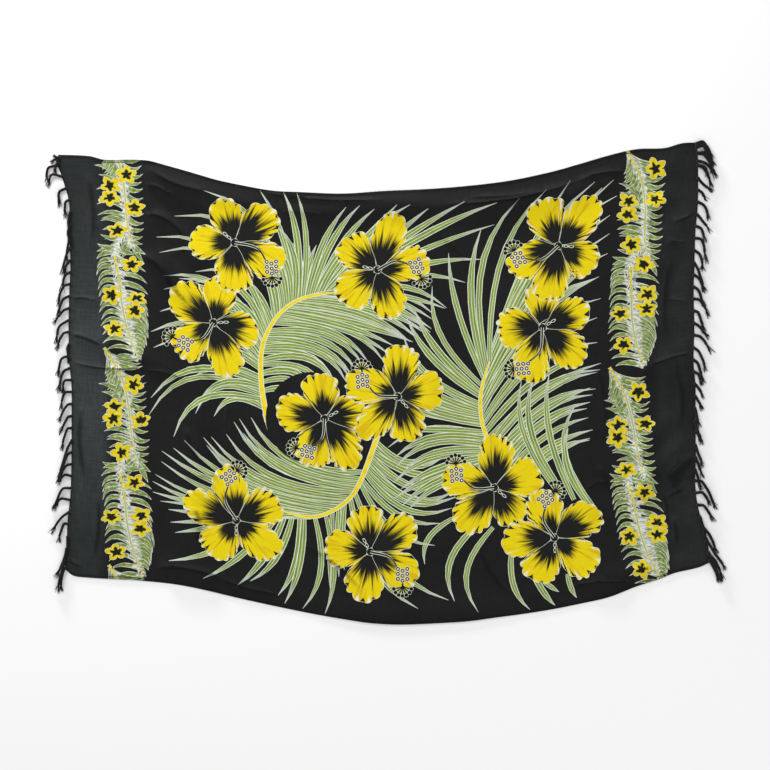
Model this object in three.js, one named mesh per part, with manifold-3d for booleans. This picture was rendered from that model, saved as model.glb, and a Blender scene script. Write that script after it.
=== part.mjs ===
// A sarong: one rectangular length of thin printed rayon with a narrow rolled hem along each long
// edge and a fringe of twisted strands along each short edge. It is laid out flat, face up, with its
// long edges bowed and low creases standing in it. Millimetres, +X along the long edges, +Y across the
// cloth towards its upper hem, +Z up from the surface that it lies on.
//
// Each piece is placed in the flat cloth's own measures: `across` runs from the left fringe edge and
// `up` from the lower hem edge. layOut() then carries a point of the flat cloth to where it lies.
import * as THREE from "three";
import { mergeVertices } from "three/addons/utils/BufferGeometryUtils.js";
import Module from "manifold-3d";

const wasm = await Module();
wasm.setup();

// Driving dimensions
const CUT = { width: 1750, height: 1150 };
const WALL = 1.2;
const SEAM_GAP = 0.3;
const HEM = { width: 7, thick: 2.2, edgeThick: 1.4 };
const STRIP = { width: 4, thick: 1.8 };
const FRINGE = { strands: 34, radius: 1.6, steps: 5, sides: 4, rootInset: 2.5, clearOfFloor: 0.25 };

// The mesh lines, band by band: closer together where the folds are.
const ACROSS_BANDS = [
  { share: 0.0, cells: 14 }, { share: 0.22, cells: 22 }, { share: 0.8, cells: 14 }, { share: 1.0, cells: 0 },
];
const UP_BANDS = [
  { share: 0.0, cells: 5 }, { share: 0.1, cells: 23 }, { share: 0.9, cells: 5 }, { share: 1.0, cells: 0 },
];

// How far the strands reach out from the edge and how far they turn down it, along each edge.
const LEFT_HANG = [
  { up: 0, out: 30, down: 62 }, { up: 100, out: 34, down: 52 }, { up: 250, out: 44, down: 60 },
  { up: 600, out: 34, down: 60 }, { up: 950, out: 30, down: 58 }, { up: 1150, out: 38, down: 40 },
];
const RIGHT_HANG = [
  { up: 0, out: 32, down: 62 }, { up: 80, out: 46, down: 66 }, { up: 200, out: 42, down: 76 },
  { up: 320, out: 42, down: 56 }, { up: 600, out: 38, down: 66 }, { up: 950, out: 42, down: 62 },
  { up: 1150, out: 38, down: 58 },
];

const REST_LEVEL = 0.25; // ridges lower than this are left out, so that the cloth rests flat between them

// Where the four edges of the cloth lie, from corner to corner.
const UPPER_EDGE = [
  { x: -875, y: 612 }, { x: -829, y: 611 }, { x: -789, y: 608 }, { x: -752, y: 599 },
  { x: -677, y: 599 }, { x: -634, y: 596 }, { x: -602, y: 588 }, { x: -527, y: 567 },
  { x: -452, y: 545 }, { x: -377, y: 529 }, { x: -302, y: 516 }, { x: -226, y: 512 },
  { x: -114, y: 508 }, { x: -1, y: 515 }, { x: 111, y: 520 }, { x: 224, y: 529 }, { x: 336, y: 543 },
  { x: 449, y: 567 }, { x: 524, y: 588 }, { x: 599, y: 610 }, { x: 674, y: 627 }, { x: 749, y: 630 },
  { x: 797, y: 643 }, { x: 835, y: 645 },
];
const LOWER_EDGE = [
  { x: -856, y: -500 }, { x: -835, y: -516 }, { x: -797, y: -521 }, { x: -752, y: -524 },
  { x: -661, y: -529 }, { x: -564, y: -539 }, { x: -489, y: -553 }, { x: -414, y: -571 },
  { x: -339, y: -588 }, { x: -264, y: -604 }, { x: -189, y: -619 }, { x: -114, y: -632 },
  { x: -39, y: -643 }, { x: 42, y: -647 }, { x: 149, y: -643 }, { x: 224, y: -638 }, { x: 299, y: -628 },
  { x: 374, y: -618 }, { x: 449, y: -606 }, { x: 524, y: -591 }, { x: 599, y: -574 },
  { x: 674, y: -545 }, { x: 738, y: -524 }, { x: 776, y: -509 }, { x: 840, y: -494 },
  { x: 872, y: -480 },
];
const LEFT_EDGE = [
  { x: -856, y: -500 }, { x: -860, y: -476 }, { x: -854, y: -436 }, { x: -850, y: -363 },
  { x: -843, y: -299 }, { x: -840, y: -202 }, { x: -840, y: -106 }, { x: -840, y: -9 },
  { x: -846, y: 55 }, { x: -848, y: 151 }, { x: -846, y: 248 }, { x: -843, y: 312 }, { x: -846, y: 409 },
  { x: -846, y: 481 }, { x: -851, y: 505 }, { x: -867, y: 556 }, { x: -876, y: 583 },
  { x: -875, y: 612 },
];
const RIGHT_EDGE = [
  { x: 872, y: -480 }, { x: 868, y: -449 }, { x: 858, y: -395 }, { x: 838, y: -328 },
  { x: 831, y: -261 }, { x: 833, y: -202 }, { x: 832, y: -106 }, { x: 832, y: -9 }, { x: 827, y: 55 },
  { x: 829, y: 151 }, { x: 827, y: 248 }, { x: 829, y: 312 }, { x: 832, y: 409 }, { x: 838, y: 473 },
  { x: 839, y: 556 }, { x: 838, y: 610 }, { x: 835, y: 645 },
];

// The largest folds, as soft ridges in the flat cloth's measures. `bow` bends a ridge sideways at its
// middle, `half` is its half width and `high` its height.
const FOLDS = [
  // the fan of folds below the upper left corner
  { fromAcross: 215, fromUp: 1118, toAcross: 560, toUp: 1106, bow: -8, half: 26, high: 6 },
  { fromAcross: 222, fromUp: 1075, toAcross: 430, toUp: 1050, bow: 8, half: 26, high: 5 },
  { fromAcross: 225, fromUp: 1010, toAcross: 380, toUp: 880, bow: 12, half: 30, high: 6 },
  { fromAcross: 215, fromUp: 900, toAcross: 335, toUp: 775, bow: 14, half: 30, high: 8 },
  // the folds that follow the upper hem
  { fromAcross: 600, fromUp: 1098, toAcross: 1010, toUp: 1112, bow: 8, half: 28, high: 5 },
  { fromAcross: 850, fromUp: 1128, toAcross: 1560, toUp: 1082, bow: -14, half: 28, high: 7 },
  // the left border
  { fromAcross: 10, fromUp: 662, toAcross: 315, toUp: 560, bow: 12, half: 26, high: 5 },
  { fromAcross: 55, fromUp: 1030, toAcross: 75, toUp: 720, bow: 10, half: 34, high: 4 },
  { fromAcross: 62, fromUp: 470, toAcross: 48, toUp: 90, bow: -10, half: 34, high: 5 },
  // the lower hem
  { fromAcross: 250, fromUp: 62, toAcross: 440, toUp: 36, bow: -8, half: 26, high: 6 },
  { fromAcross: 640, fromUp: 34, toAcross: 1240, toUp: 34, bow: -8, half: 30, high: 4 },
  { fromAcross: 1390, fromUp: 52, toAcross: 1600, toUp: 32, bow: 6, half: 26, high: 5 },
  // the right border
  { fromAcross: 1565, fromUp: 215, toAcross: 1725, toUp: 350, bow: 12, half: 28, high: 9 },
  { fromAcross: 1560, fromUp: 330, toAcross: 1690, toUp: 430, bow: -10, half: 28, high: 5 },
  { fromAcross: 1600, fromUp: 560, toAcross: 1735, toUp: 604, bow: -6, half: 26, high: 5 },
  { fromAcross: 1590, fromUp: 960, toAcross: 1700, toUp: 1030, bow: 8, half: 28, high: 5 },
  { fromAcross: 1660, fromUp: 940, toAcross: 1640, toUp: 640, bow: -12, half: 34, high: 4 },
  // slack across the field between the borders
  { fromAcross: 330, fromUp: 520, toAcross: 350, toUp: 190, bow: 16, half: 38, high: 6 },
  { fromAcross: 455, fromUp: 560, toAcross: 470, toUp: 380, bow: -8, half: 34, high: 4 },
  { fromAcross: 700, fromUp: 700, toAcross: 715, toUp: 300, bow: -22, half: 46, high: 5 },
  { fromAcross: 1010, fromUp: 820, toAcross: 960, toUp: 470, bow: 20, half: 46, high: 5 },
  { fromAcross: 1240, fromUp: 900, toAcross: 1225, toUp: 560, bow: -18, half: 44, high: 4 },
  { fromAcross: 1405, fromUp: 470, toAcross: 1460, toUp: 200, bow: -14, half: 36, high: 6 },
  { fromAcross: 870, fromUp: 240, toAcross: 930, toUp: 70, bow: 12, half: 42, high: 4 },
];

// Materials, one for each part of the garment
const printedRayon = new THREE.MeshStandardMaterial({ color: 0x1f211f, roughness: 0.85, metalness: 0 });
const hemRayon = new THREE.MeshStandardMaterial({ color: 0x161817, roughness: 0.85, metalness: 0 });
const fringeYarn = new THREE.MeshStandardMaterial({ color: 0x0d0f0f, roughness: 0.95, metalness: 0 });

// A smooth curve through an edge's points: at(share) is the place that share of the way along it.
function edgeCurve(points) {
  const knots = [0];
  for (let i = 1; i < points.length; i++) {
    knots.push(knots[i - 1] + Math.hypot(points[i].x - points[i - 1].x, points[i].y - points[i - 1].y));
  }
  const total = knots[knots.length - 1];
  const slope = (key, i) => {
    const a = Math.max(i - 1, 0);
    const b = Math.min(i + 1, points.length - 1);
    return (points[b][key] - points[a][key]) / (knots[b] - knots[a]);
  };
  return (share) => {
    const distance = share * total;
    let i = 0;
    while (i < points.length - 2 && knots[i + 1] < distance) i++;
    const span = knots[i + 1] - knots[i];
    const t = (distance - knots[i]) / span;
    const blend = (key) =>
      (2 * t ** 3 - 3 * t ** 2 + 1) * points[i][key] + (t ** 3 - 2 * t ** 2 + t) * span * slope(key, i) +
      (3 * t ** 2 - 2 * t ** 3) * points[i + 1][key] + (t ** 3 - t ** 2) * span * slope(key, i + 1);
    return { x: blend("x"), y: blend("y") };
  };
}

const upperAt = edgeCurve(UPPER_EDGE);
const lowerAt = edgeCurve(LOWER_EDGE);
const leftAt = edgeCurve(LEFT_EDGE);
const rightAt = edgeCurve(RIGHT_EDGE);

// Where a point of the flat cloth lies, seen from above: the patch that the four edges span.
function layOut(across, up) {
  const s = across / CUT.width;
  const t = up / CUT.height;
  const [upper, lower, left, right] = [upperAt(s), lowerAt(s), leftAt(t), rightAt(t)];
  const [lowLeft, lowRight, highLeft, highRight] = [lowerAt(0), lowerAt(1), upperAt(0), upperAt(1)];
  const patch = (key) =>
    (1 - t) * lower[key] + t * upper[key] + (1 - s) * left[key] + s * right[key] -
    ((1 - s) * (1 - t) * lowLeft[key] + s * (1 - t) * lowRight[key] +
      (1 - s) * t * highLeft[key] + s * t * highRight[key]);
  return { x: patch("x"), y: patch("y") };
}

// How high one ridge stands at a point of the flat cloth.
function ridge(fold, across, up) {
  const alongX = fold.toAcross - fold.fromAcross;
  const alongY = fold.toUp - fold.fromUp;
  const length = Math.hypot(alongX, alongY);
  const share = ((across - fold.fromAcross) * alongX + (up - fold.fromUp) * alongY) / length ** 2;
  if (share <= 0 || share >= 1) return 0;
  const aside = ((up - fold.fromUp) * alongX - (across - fold.fromAcross) * alongY) / length;
  const fromLine = aside - fold.bow * 4 * share * (1 - share);
  return fold.high * (1 - (2 * share - 1) ** 4) * Math.exp(-((fromLine / fold.half) ** 2));
}

// The height of the cloth's underside: zero where it rests.
function lift(across, up) {
  const sum = FOLDS.reduce((total, fold) => total + ridge(fold, across, up), 0);
  return Math.max(0, sum - REST_LEVEL);
}

// The mesh lines between two places, spaced out as the bands say.
function meshLines(from, to, bands) {
  const lines = [from];
  for (let b = 0; b < bands.length - 1; b++) {
    const step = (bands[b + 1].share - bands[b].share) / bands[b].cells;
    for (let i = 1; i <= bands[b].cells; i++) lines.push(from + (to - from) * (bands[b].share + step * i));
  }
  return lines;
}

// A closed wall over a grid of flat-cloth lines. thickAt(i, j) is its thickness at the grid's point i, j.
function wall(acrossLines, upLines, thickAt) {
  const [columns, rows] = [acrossLines.length, upLines.length];
  const points = [];
  for (const top of [false, true]) {
    for (let j = 0; j < rows; j++) {
      for (let i = 0; i < columns; i++) {
        const at = layOut(acrossLines[i], upLines[j]);
        points.push(at.x, at.y, lift(acrossLines[i], upLines[j]) + (top ? thickAt(i, j) : 0));
      }
    }
  }
  const upperSide = columns * rows;
  const index = [];
  const quad = (a, b, c, d) => index.push(a, b, c, a, c, d);
  for (let j = 0; j < rows - 1; j++) {
    for (let i = 0; i < columns - 1; i++) {
      const [a, b, c, d] = [j * columns + i, j * columns + i + 1, (j + 1) * columns + i + 1, (j + 1) * columns + i];
      quad(a, d, c, b);
      quad(upperSide + a, upperSide + b, upperSide + c, upperSide + d);
    }
  }
  const rim = [];
  for (let i = 0; i < columns - 1; i++) rim.push(i);
  for (let j = 0; j < rows - 1; j++) rim.push(j * columns + columns - 1);
  for (let i = columns - 1; i > 0; i--) rim.push((rows - 1) * columns + i);
  for (let j = rows - 1; j > 0; j--) rim.push(j * columns);
  rim.forEach((a, k) => {
    const b = rim[(k + 1) % rim.length];
    quad(a, b, upperSide + b, upperSide + a);
  });
  const geometry = new THREE.BufferGeometry();
  geometry.setAttribute("position", new THREE.Float32BufferAttribute(points, 3));
  geometry.setIndex(index);
  return geometry;
}

// The panel ends short of the hems and the fringe strips, which share its mesh lines.
const SIDE_MARGIN = STRIP.width + SEAM_GAP;
const HEM_MARGIN = HEM.width + SEAM_GAP;
const ACROSS_LINES = meshLines(SIDE_MARGIN, CUT.width - SIDE_MARGIN, ACROSS_BANDS);
const UP_LINES = meshLines(HEM_MARGIN, CUT.height - HEM_MARGIN, UP_BANDS);

// A rolled hem: thinner at its two long edges than along its middle.
function hem(from) {
  const upLines = [from, from + HEM.width / 2, from + HEM.width];
  const thick = [HEM.edgeThick, HEM.thick, HEM.edgeThick];
  return wall([0, ...ACROSS_LINES, CUT.width], upLines, (_, j) => thick[j]);
}

// A number from 0 to 1 that differs from strand to strand.
const vary = (strand, salt) => {
  const x = Math.sin(strand * 12.9898 + salt * 78.233) * 43758.5453;
  return x - Math.floor(x);
};

// The reach of a strand that leaves the edge at this height up the cloth.
function hangAt(table, up) {
  let row = 0;
  while (row < table.length - 2 && table[row + 1].up < up) row++;
  const [a, b] = [table[row], table[row + 1]];
  const t = (up - a.up) / (b.up - a.up);
  return { out: a.out + (b.out - a.out) * t, down: a.down + (b.down - a.down) * t };
}

// The centre line of one strand: it leaves the edge sideways and turns down the cloth. side is -1 on
// the left and 1 on the right.
function strandPath(side, strand) {
  const up = HEM.width + 6 + ((CUT.height - 2 * HEM.width - 12) * (strand + 0.5)) / FRINGE.strands;
  const across = side < 0 ? FRINGE.rootInset : CUT.width - FRINGE.rootInset;
  const root = layOut(across, up);
  const hang = hangAt(side < 0 ? LEFT_HANG : RIGHT_HANG, up);
  const out = hang.out + 3 * vary(strand, side);
  const down = hang.down + 8 * vary(strand, side + 5);
  const low = FRINGE.radius + FRINGE.clearOfFloor;
  return Array.from({ length: FRINGE.steps + 1 }, (_, k) => {
    const t = k / FRINGE.steps;
    const outwards = out * (0.6 * Math.sin((t * Math.PI) / 2) + 0.4 * t);
    return new THREE.Vector3(root.x + side * outwards, root.y - down * t * t, low + lift(across, up) * (1 - t));
  });
}

// A closed tube of a few sides, thinner towards its far end.
function tube(path, radius, sides) {
  const points = [];
  const index = [];
  path.forEach((centre, k) => {
    const ahead = path[Math.min(k + 1, path.length - 1)].clone().sub(path[Math.max(k - 1, 0)]).setZ(0).normalize();
    const aside = new THREE.Vector3(ahead.y, -ahead.x, 0);
    const reach = radius * (1 - 0.35 * (k / (path.length - 1)));
    for (let s = 0; s < sides; s++) {
      const turn = (2 * Math.PI * s) / sides;
      const at = centre.clone().addScaledVector(aside, reach * Math.cos(turn));
      points.push(at.x, at.y, at.z + reach * Math.sin(turn));
    }
  });
  const last = (path.length - 1) * sides;
  for (let k = 0; k < path.length - 1; k++) {
    for (let s = 0; s < sides; s++) {
      const [a, b] = [k * sides + s, k * sides + ((s + 1) % sides)];
      index.push(a, a + sides, b, b, a + sides, b + sides);
    }
  }
  for (let s = 1; s < sides - 1; s++) {
    index.push(0, s, s + 1, last, last + s + 1, last + s);
  }
  const geometry = new THREE.BufferGeometry();
  geometry.setAttribute("position", new THREE.Float32BufferAttribute(points, 3));
  geometry.setIndex(index);
  return geometry;
}

function toSolid(geometry) {
  const bare = new THREE.BufferGeometry();
  bare.setAttribute("position", geometry.getAttribute("position"));
  bare.setIndex(geometry.getIndex());
  const merged = mergeVertices(bare, 1e-4);
  const vertProperties = merged.getAttribute("position").array;
  const triVerts = new Uint32Array(merged.getIndex().array);
  return new wasm.Manifold(new wasm.Mesh({ numProp: 3, vertProperties, triVerts }));
}

function fromSolid(solid) {
  const mesh = solid.getMesh();
  const geometry = new THREE.BufferGeometry();
  geometry.setAttribute("position", new THREE.BufferAttribute(new Float32Array(mesh.vertProperties), 3));
  geometry.setIndex(new THREE.BufferAttribute(new Uint32Array(mesh.triVerts), 1));
  return geometry;
}

// The fringe of one side: a narrow strip just outside the cloth's wall with the strands fused to it.
function fringe(side) {
  const from = side < 0 ? 0 : CUT.width - STRIP.width;
  const strip = wall([from, from + STRIP.width], UP_LINES, () => STRIP.thick);
  let joined = toSolid(strip);
  for (let strand = 0; strand < FRINGE.strands; strand++) {
    joined = joined.add(toSolid(tube(strandPath(side, strand), FRINGE.radius, FRINGE.sides)));
  }
  return fromSolid(joined);
}

const pieces = [
  ["cloth", wall(ACROSS_LINES, UP_LINES, () => WALL), printedRayon],
  ["upper_hem", hem(CUT.height - HEM.width), hemRayon],
  ["lower_hem", hem(0), hemRayon],
  ["left_fringe", fringe(-1), fringeYarn],
  ["right_fringe", fringe(1), fringeYarn],
];

const sarong = new THREE.Group();
for (const [name, geometry, material] of pieces) {
  geometry.computeVertexNormals();
  const mesh = new THREE.Mesh(geometry, material);
  mesh.name = name;
  sarong.add(mesh);
}

// The origin is below the middle of the whole garment, on the surface that it lies on.
const middle = new THREE.Box3().setFromObject(sarong).getCenter(new THREE.Vector3());
sarong.position.set(-middle.x, -middle.y, 0);
const part = new THREE.Group();
part.add(sarong);

export default part;
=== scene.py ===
"""A black rayon sarong with a yellow hibiscus and palm leaf print, lying flat on a pale floor.

Sizes in the tables are millimetres, seen from above: x to the right fringe, y to the upper hem, from
the middle of the cloth. Blender's objects are in metres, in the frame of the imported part.
"""
import math
import random

import bpy
import numpy as np
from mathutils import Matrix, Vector
from mathutils.geometry import delaunay_2d_cdt


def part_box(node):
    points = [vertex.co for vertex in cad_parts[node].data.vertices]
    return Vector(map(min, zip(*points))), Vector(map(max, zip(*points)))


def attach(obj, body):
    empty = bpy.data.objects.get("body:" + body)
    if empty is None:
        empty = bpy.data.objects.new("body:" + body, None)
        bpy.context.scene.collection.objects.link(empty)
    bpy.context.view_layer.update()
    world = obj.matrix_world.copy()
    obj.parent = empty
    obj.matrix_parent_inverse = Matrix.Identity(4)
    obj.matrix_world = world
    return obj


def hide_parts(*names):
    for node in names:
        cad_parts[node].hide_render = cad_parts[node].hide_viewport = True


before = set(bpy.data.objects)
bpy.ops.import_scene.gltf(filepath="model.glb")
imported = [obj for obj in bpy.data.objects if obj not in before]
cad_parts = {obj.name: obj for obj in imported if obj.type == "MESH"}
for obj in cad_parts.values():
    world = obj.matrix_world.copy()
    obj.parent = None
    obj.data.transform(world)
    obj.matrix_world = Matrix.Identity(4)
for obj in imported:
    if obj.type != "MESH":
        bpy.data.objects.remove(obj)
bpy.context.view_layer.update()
random.seed(7)

# ---------------------------------------------------------------- sizes
MM = 0.001
CUT_WIDTH = 1750
CUT_HEIGHT = 1150
WALL = 1.2
HEM_WIDTH = 7
HEM_THICK = 2.2
HEM_SEAMS = (HEM_WIDTH, CUT_HEIGHT - HEM_WIDTH)
STITCH_PITCH = 4.2
REST_LEVEL = 0.25       # how much of a fold's height is cut off, so that its foot lies flat
SLACK_HEIGHT = 0.5      # the plain cloth's own slow waves
CREASE_GAIN = 1.5       # each crease is this much higher than its row says
SHADED_CREASE_HEIGHT = 2.4    # a crease whose row says this is at its darkest: two layers of sheer cloth, deepened by painted shade
GROUND_STEP = 20        # spacing of the cloth's mesh points
FLOWER_STEP = 11        # the same inside a large flower
EDGE_STEP = 8           # the same along edges and seams
FLOWER_RADIUS = 138
SMALL_RADIUS = 30
LEAFLET_WIDTH = 17.5
STEM_WIDTH = 16.5
BAND_LEAFLET_WIDTH = 15
BAND_STEM_WIDTH = 10
RIM_STEP = 4            # spacing of points round a petal
RUFFLE_LENGTH = 28
RUFFLE_DEPTH = 7.5
RIM_UNIT = 20           # the distance from a petal's rim that the mesh holds as one
WAY_UNIT = 32           # how many ruffles the mesh holds as one
PLY_RADIUS = 2.45
ROOT_INSET = 2.5        # how far inside the cloth's edge a strand begins
FIBRES = 14             # loose fibres at the end of a strand
VIEW_WIDTH = 2064       # what the camera sees across the cloth
VIEW_MIDDLE = (0, -5)
LENS = 85
SENSOR_WIDTH = 36

# ---------------------------------------------------------------- the cloth's edges and folds
# The cloth's four edges, seen from above, from left to right and from the lower edge up.
UPPER_EDGE = (
    (-875, 612), (-829, 611), (-789, 608), (-752, 599), (-677, 599), (-634, 596), (-602, 588), (-527, 567),
    (-452, 545), (-377, 529), (-302, 516), (-226, 512), (-114, 508), (-1, 515), (111, 520), (224, 529),
    (336, 543), (449, 567), (524, 588), (599, 610), (674, 627), (749, 630), (797, 643), (835, 645),
)
LOWER_EDGE = (
    (-856, -500), (-835, -516), (-797, -521), (-752, -524), (-661, -529), (-564, -539), (-489, -553),
    (-414, -571), (-339, -588), (-264, -604), (-189, -619), (-114, -632), (-39, -643), (42, -647),
    (149, -643), (224, -638), (299, -628), (374, -618), (449, -606), (524, -591), (599, -574), (674, -545),
    (738, -524), (776, -509), (840, -494), (872, -480),
)
LEFT_EDGE = (
    (-856, -500), (-860, -476), (-854, -436), (-850, -363), (-843, -299), (-840, -202), (-840, -106),
    (-840, -9), (-846, 55), (-848, 151), (-846, 248), (-843, 312), (-846, 409), (-846, 481), (-851, 505),
    (-867, 556), (-876, 583), (-875, 612),
)
RIGHT_EDGE = (
    (872, -480), (868, -449), (858, -395), (838, -328), (831, -261), (833, -202), (832, -106), (832, -9),
    (827, 55), (829, 151), (827, 248), (829, 312), (832, 409), (838, 473), (839, 556), (838, 610),
    (835, 645),
)

# The largest folds, in the flat cloth's own measures: from across, from up, to across, to up, how far
# the ridge bows sideways, its half width and its height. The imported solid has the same.
FOLDS = (
    (215, 1118, 560, 1106, -8, 26, 6), (222, 1075, 430, 1050, 8, 26, 5), (225, 1010, 380, 880, 12, 30, 6),
    (215, 900, 335, 775, 14, 30, 8), (600, 1098, 1010, 1112, 8, 28, 5), (850, 1128, 1560, 1082, -14, 28, 7),
    (10, 662, 315, 560, 12, 26, 5), (55, 1030, 75, 720, 10, 34, 4), (62, 470, 48, 90, -10, 34, 5),
    (250, 62, 440, 36, -8, 26, 6), (640, 34, 1240, 34, -8, 30, 4), (1390, 52, 1600, 32, 6, 26, 5),
    (1565, 215, 1725, 350, 12, 28, 9), (1560, 330, 1690, 430, -10, 28, 5),
    (1600, 560, 1735, 604, -6, 26, 5), (1590, 960, 1700, 1030, 8, 28, 5),
    (1660, 940, 1640, 640, -12, 34, 4), (330, 520, 350, 190, 16, 38, 6), (455, 560, 470, 380, -8, 34, 4),
    (700, 700, 715, 300, -22, 46, 5), (1010, 820, 960, 470, 20, 46, 5), (1240, 900, 1225, 560, -18, 44, 4),
    (1405, 470, 1460, 200, -14, 36, 6), (870, 240, 930, 70, 12, 42, 4),
)

# Finer creases, seen from above: from x, from y, to x, to y, sideways bow, half width, height.
CREASES = (
    (-652, 596, -465, 548, 14, 4, 2.8), (-634, 576, -480, 515, -12, 5, 3.2),
    (-640, 532, -570, 498, 8, 4, 2.5), (-640, 455, -540, 388, 18, 5, 3.8),
    (-650, 345, -577, 262, 12, 6, 4.2), (-600, 330, -520, 205, -10, 7, 2.0),
    (-335, 512, 2, 492, -10, 3, 3.0), (-275, 458, -160, 450, 4, 4, 1.5), (165, 480, 515, 540, -16, 4, 3.8),
    (515, 540, 640, 568, 8, 3, 3.0), (230, 500, 420, 515, -6, 4, 2.0), (-845, 228, -768, 218, 5, 4, 2.2),
    (-845, 130, -758, 98, 6, 5, 2.8), (-840, 56, -640, 42, -10, 4, 2.2), (-640, 34, -540, 10, 6, 4, 2.0),
    (-428, -66, -428, -112, 3, 3, 1.8), (-530, -125, -492, -205, -12, 7, 2.5),
    (-512, -330, -505, -420, 10, 8, 2.0), (-856, -476, -818, -493, 3, 3, 2.8),
    (-610, -494, -438, -524, 12, 5, 3.8), (-438, -524, -293, -564, -6, 4, 3.0),
    (770, 433, 824, 454, -4, 4, 2.5), (712, 47, 816, 79, 5, 3, 3.8), (752, 380, 815, 372, 3, 4, 1.8),
    (745, 222, 812, 214, 4, 4, 1.5), (756, -264, 826, -196, 8, 8, 4.2), (752, -302, 803, -275, -5, 5, 3.2),
    (768, -290, 826, -200, 6, 13, 2.2), (744, -290, 758, -390, 4, 4, 2.6),
    (575, -224, 590, -290, 8, 9, 2.0), (770, -360, 778, -440, 6, 8, 1.8), (535, -286, 594, -262, 4, 3, 2.0),
    (500, -544, 666, -537, 8, 4, 2.8), (-800, 560, -786, 380, 10, 8, 1.9),
    (-812, -60, -800, -260, -12, 9, 2.0), (-770, -300, -782, -470, 8, 7, 2.0),
    (765, 330, 752, 120, -10, 9, 1.8), (775, 60, 790, -120, 12, 8, 1.8),
    (-580, -270, -420, -250, 10, 6, 1.2), (-230, -430, -60, -560, 14, 8, 1.6),
    (250, -430, 330, -560, -12, 7, 1.8), (100, 420, 230, 300, 16, 8, 1.2),
    (-540, 90, -420, -10, -14, 8, 1.2), (560, 60, 590, -120, 9, 7, 1.5),
)

# ---------------------------------------------------------------- where the print's motifs are
# Large flowers: the middle, five petals from the lowest layer to the uppermost, the direction of the
# small loops, where the stamen ends and where its tip points. A petal's row is its direction in
# degrees, its length, its half width and how far the black throat reaches.
FLOWERS = (
    ((-460, 162), ((138, 145, 54, 85), (78, 126, 52, 60), (-16, 126, 50, 88), (-70, 156, 50, 85),
                   (222, 132, 58, 65)), 2, (-535, 106), (-583, 130)),
    ((-403, 377), ((180, 124, 53, 62), (108, 124, 52, 75), (36, 140, 54, 98), (268, 137, 55, 78),
                   (-30, 148, 54, 70)), 138, (-304, 312), (-302, 269)),
    ((-20, 304), ((140, 126, 57, 75), (69, 162, 48, 88), (222, 132, 60, 62), (-73, 140, 52, 85),
                  (12, 146, 52, 65)), 168, (84, 315), (103, 267)),
    ((422, 149), ((88, 124, 52, 60), (27, 138, 50, 85), (-43, 145, 55, 85), (180, 124, 60, 80),
                  (252, 156, 55, 70)), 32, (371, 39), (331, 36)),
    ((465, 368), ((112, 136, 60, 70), (50, 168, 46, 75), (-30, 116, 60, 70), (205, 152, 50, 85),
                  (258, 156, 50, 85)), -3, (358, 331), (339, 368)),
    ((-162, -95), ((97, 126, 52, 60), (12, 116, 54, 80), (-55, 156, 54, 88), (250, 137, 58, 75),
                   (168, 134, 55, 80)), 28, (-205, -184), (-251, -170)),
    ((34, -36), ((84, 142, 54, 85), (12, 127, 58, 62), (-72, 127, 54, 85), (228, 150, 46, 75),
                 (157, 150, 55, 55)), -48, (-60, 4), (-63, 52)),
    ((-398, -368), ((27, 130, 60, 82), (-42, 150, 50, 60), (235, 120, 58, 60), (158, 154, 50, 90),
                    (103, 154, 53, 75)), -92, (-419, -253), (-385, -226)),
    ((-39, -452), ((172, 126, 52, 60), (97, 127, 53, 75), (34, 147, 53, 95), (260, 137, 58, 75),
                   (-32, 148, 56, 75)), 118, (47, -511), (47, -561)),
    ((293, -280), ((20, 134, 59, 65), (-58, 118, 52, 85), (86, 146, 54, 88), (230, 150, 54, 88),
                   (170, 144, 54, 60)), -40, (192, -248), (189, -202)),
    ((454, -414), ((33, 144, 54, 90), (-35, 143, 55, 62), (245, 132, 54, 75), (183, 143, 52, 85),
                   (112, 134, 60, 60)), -88, (430, -312), (468, -280)),
)

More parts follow.
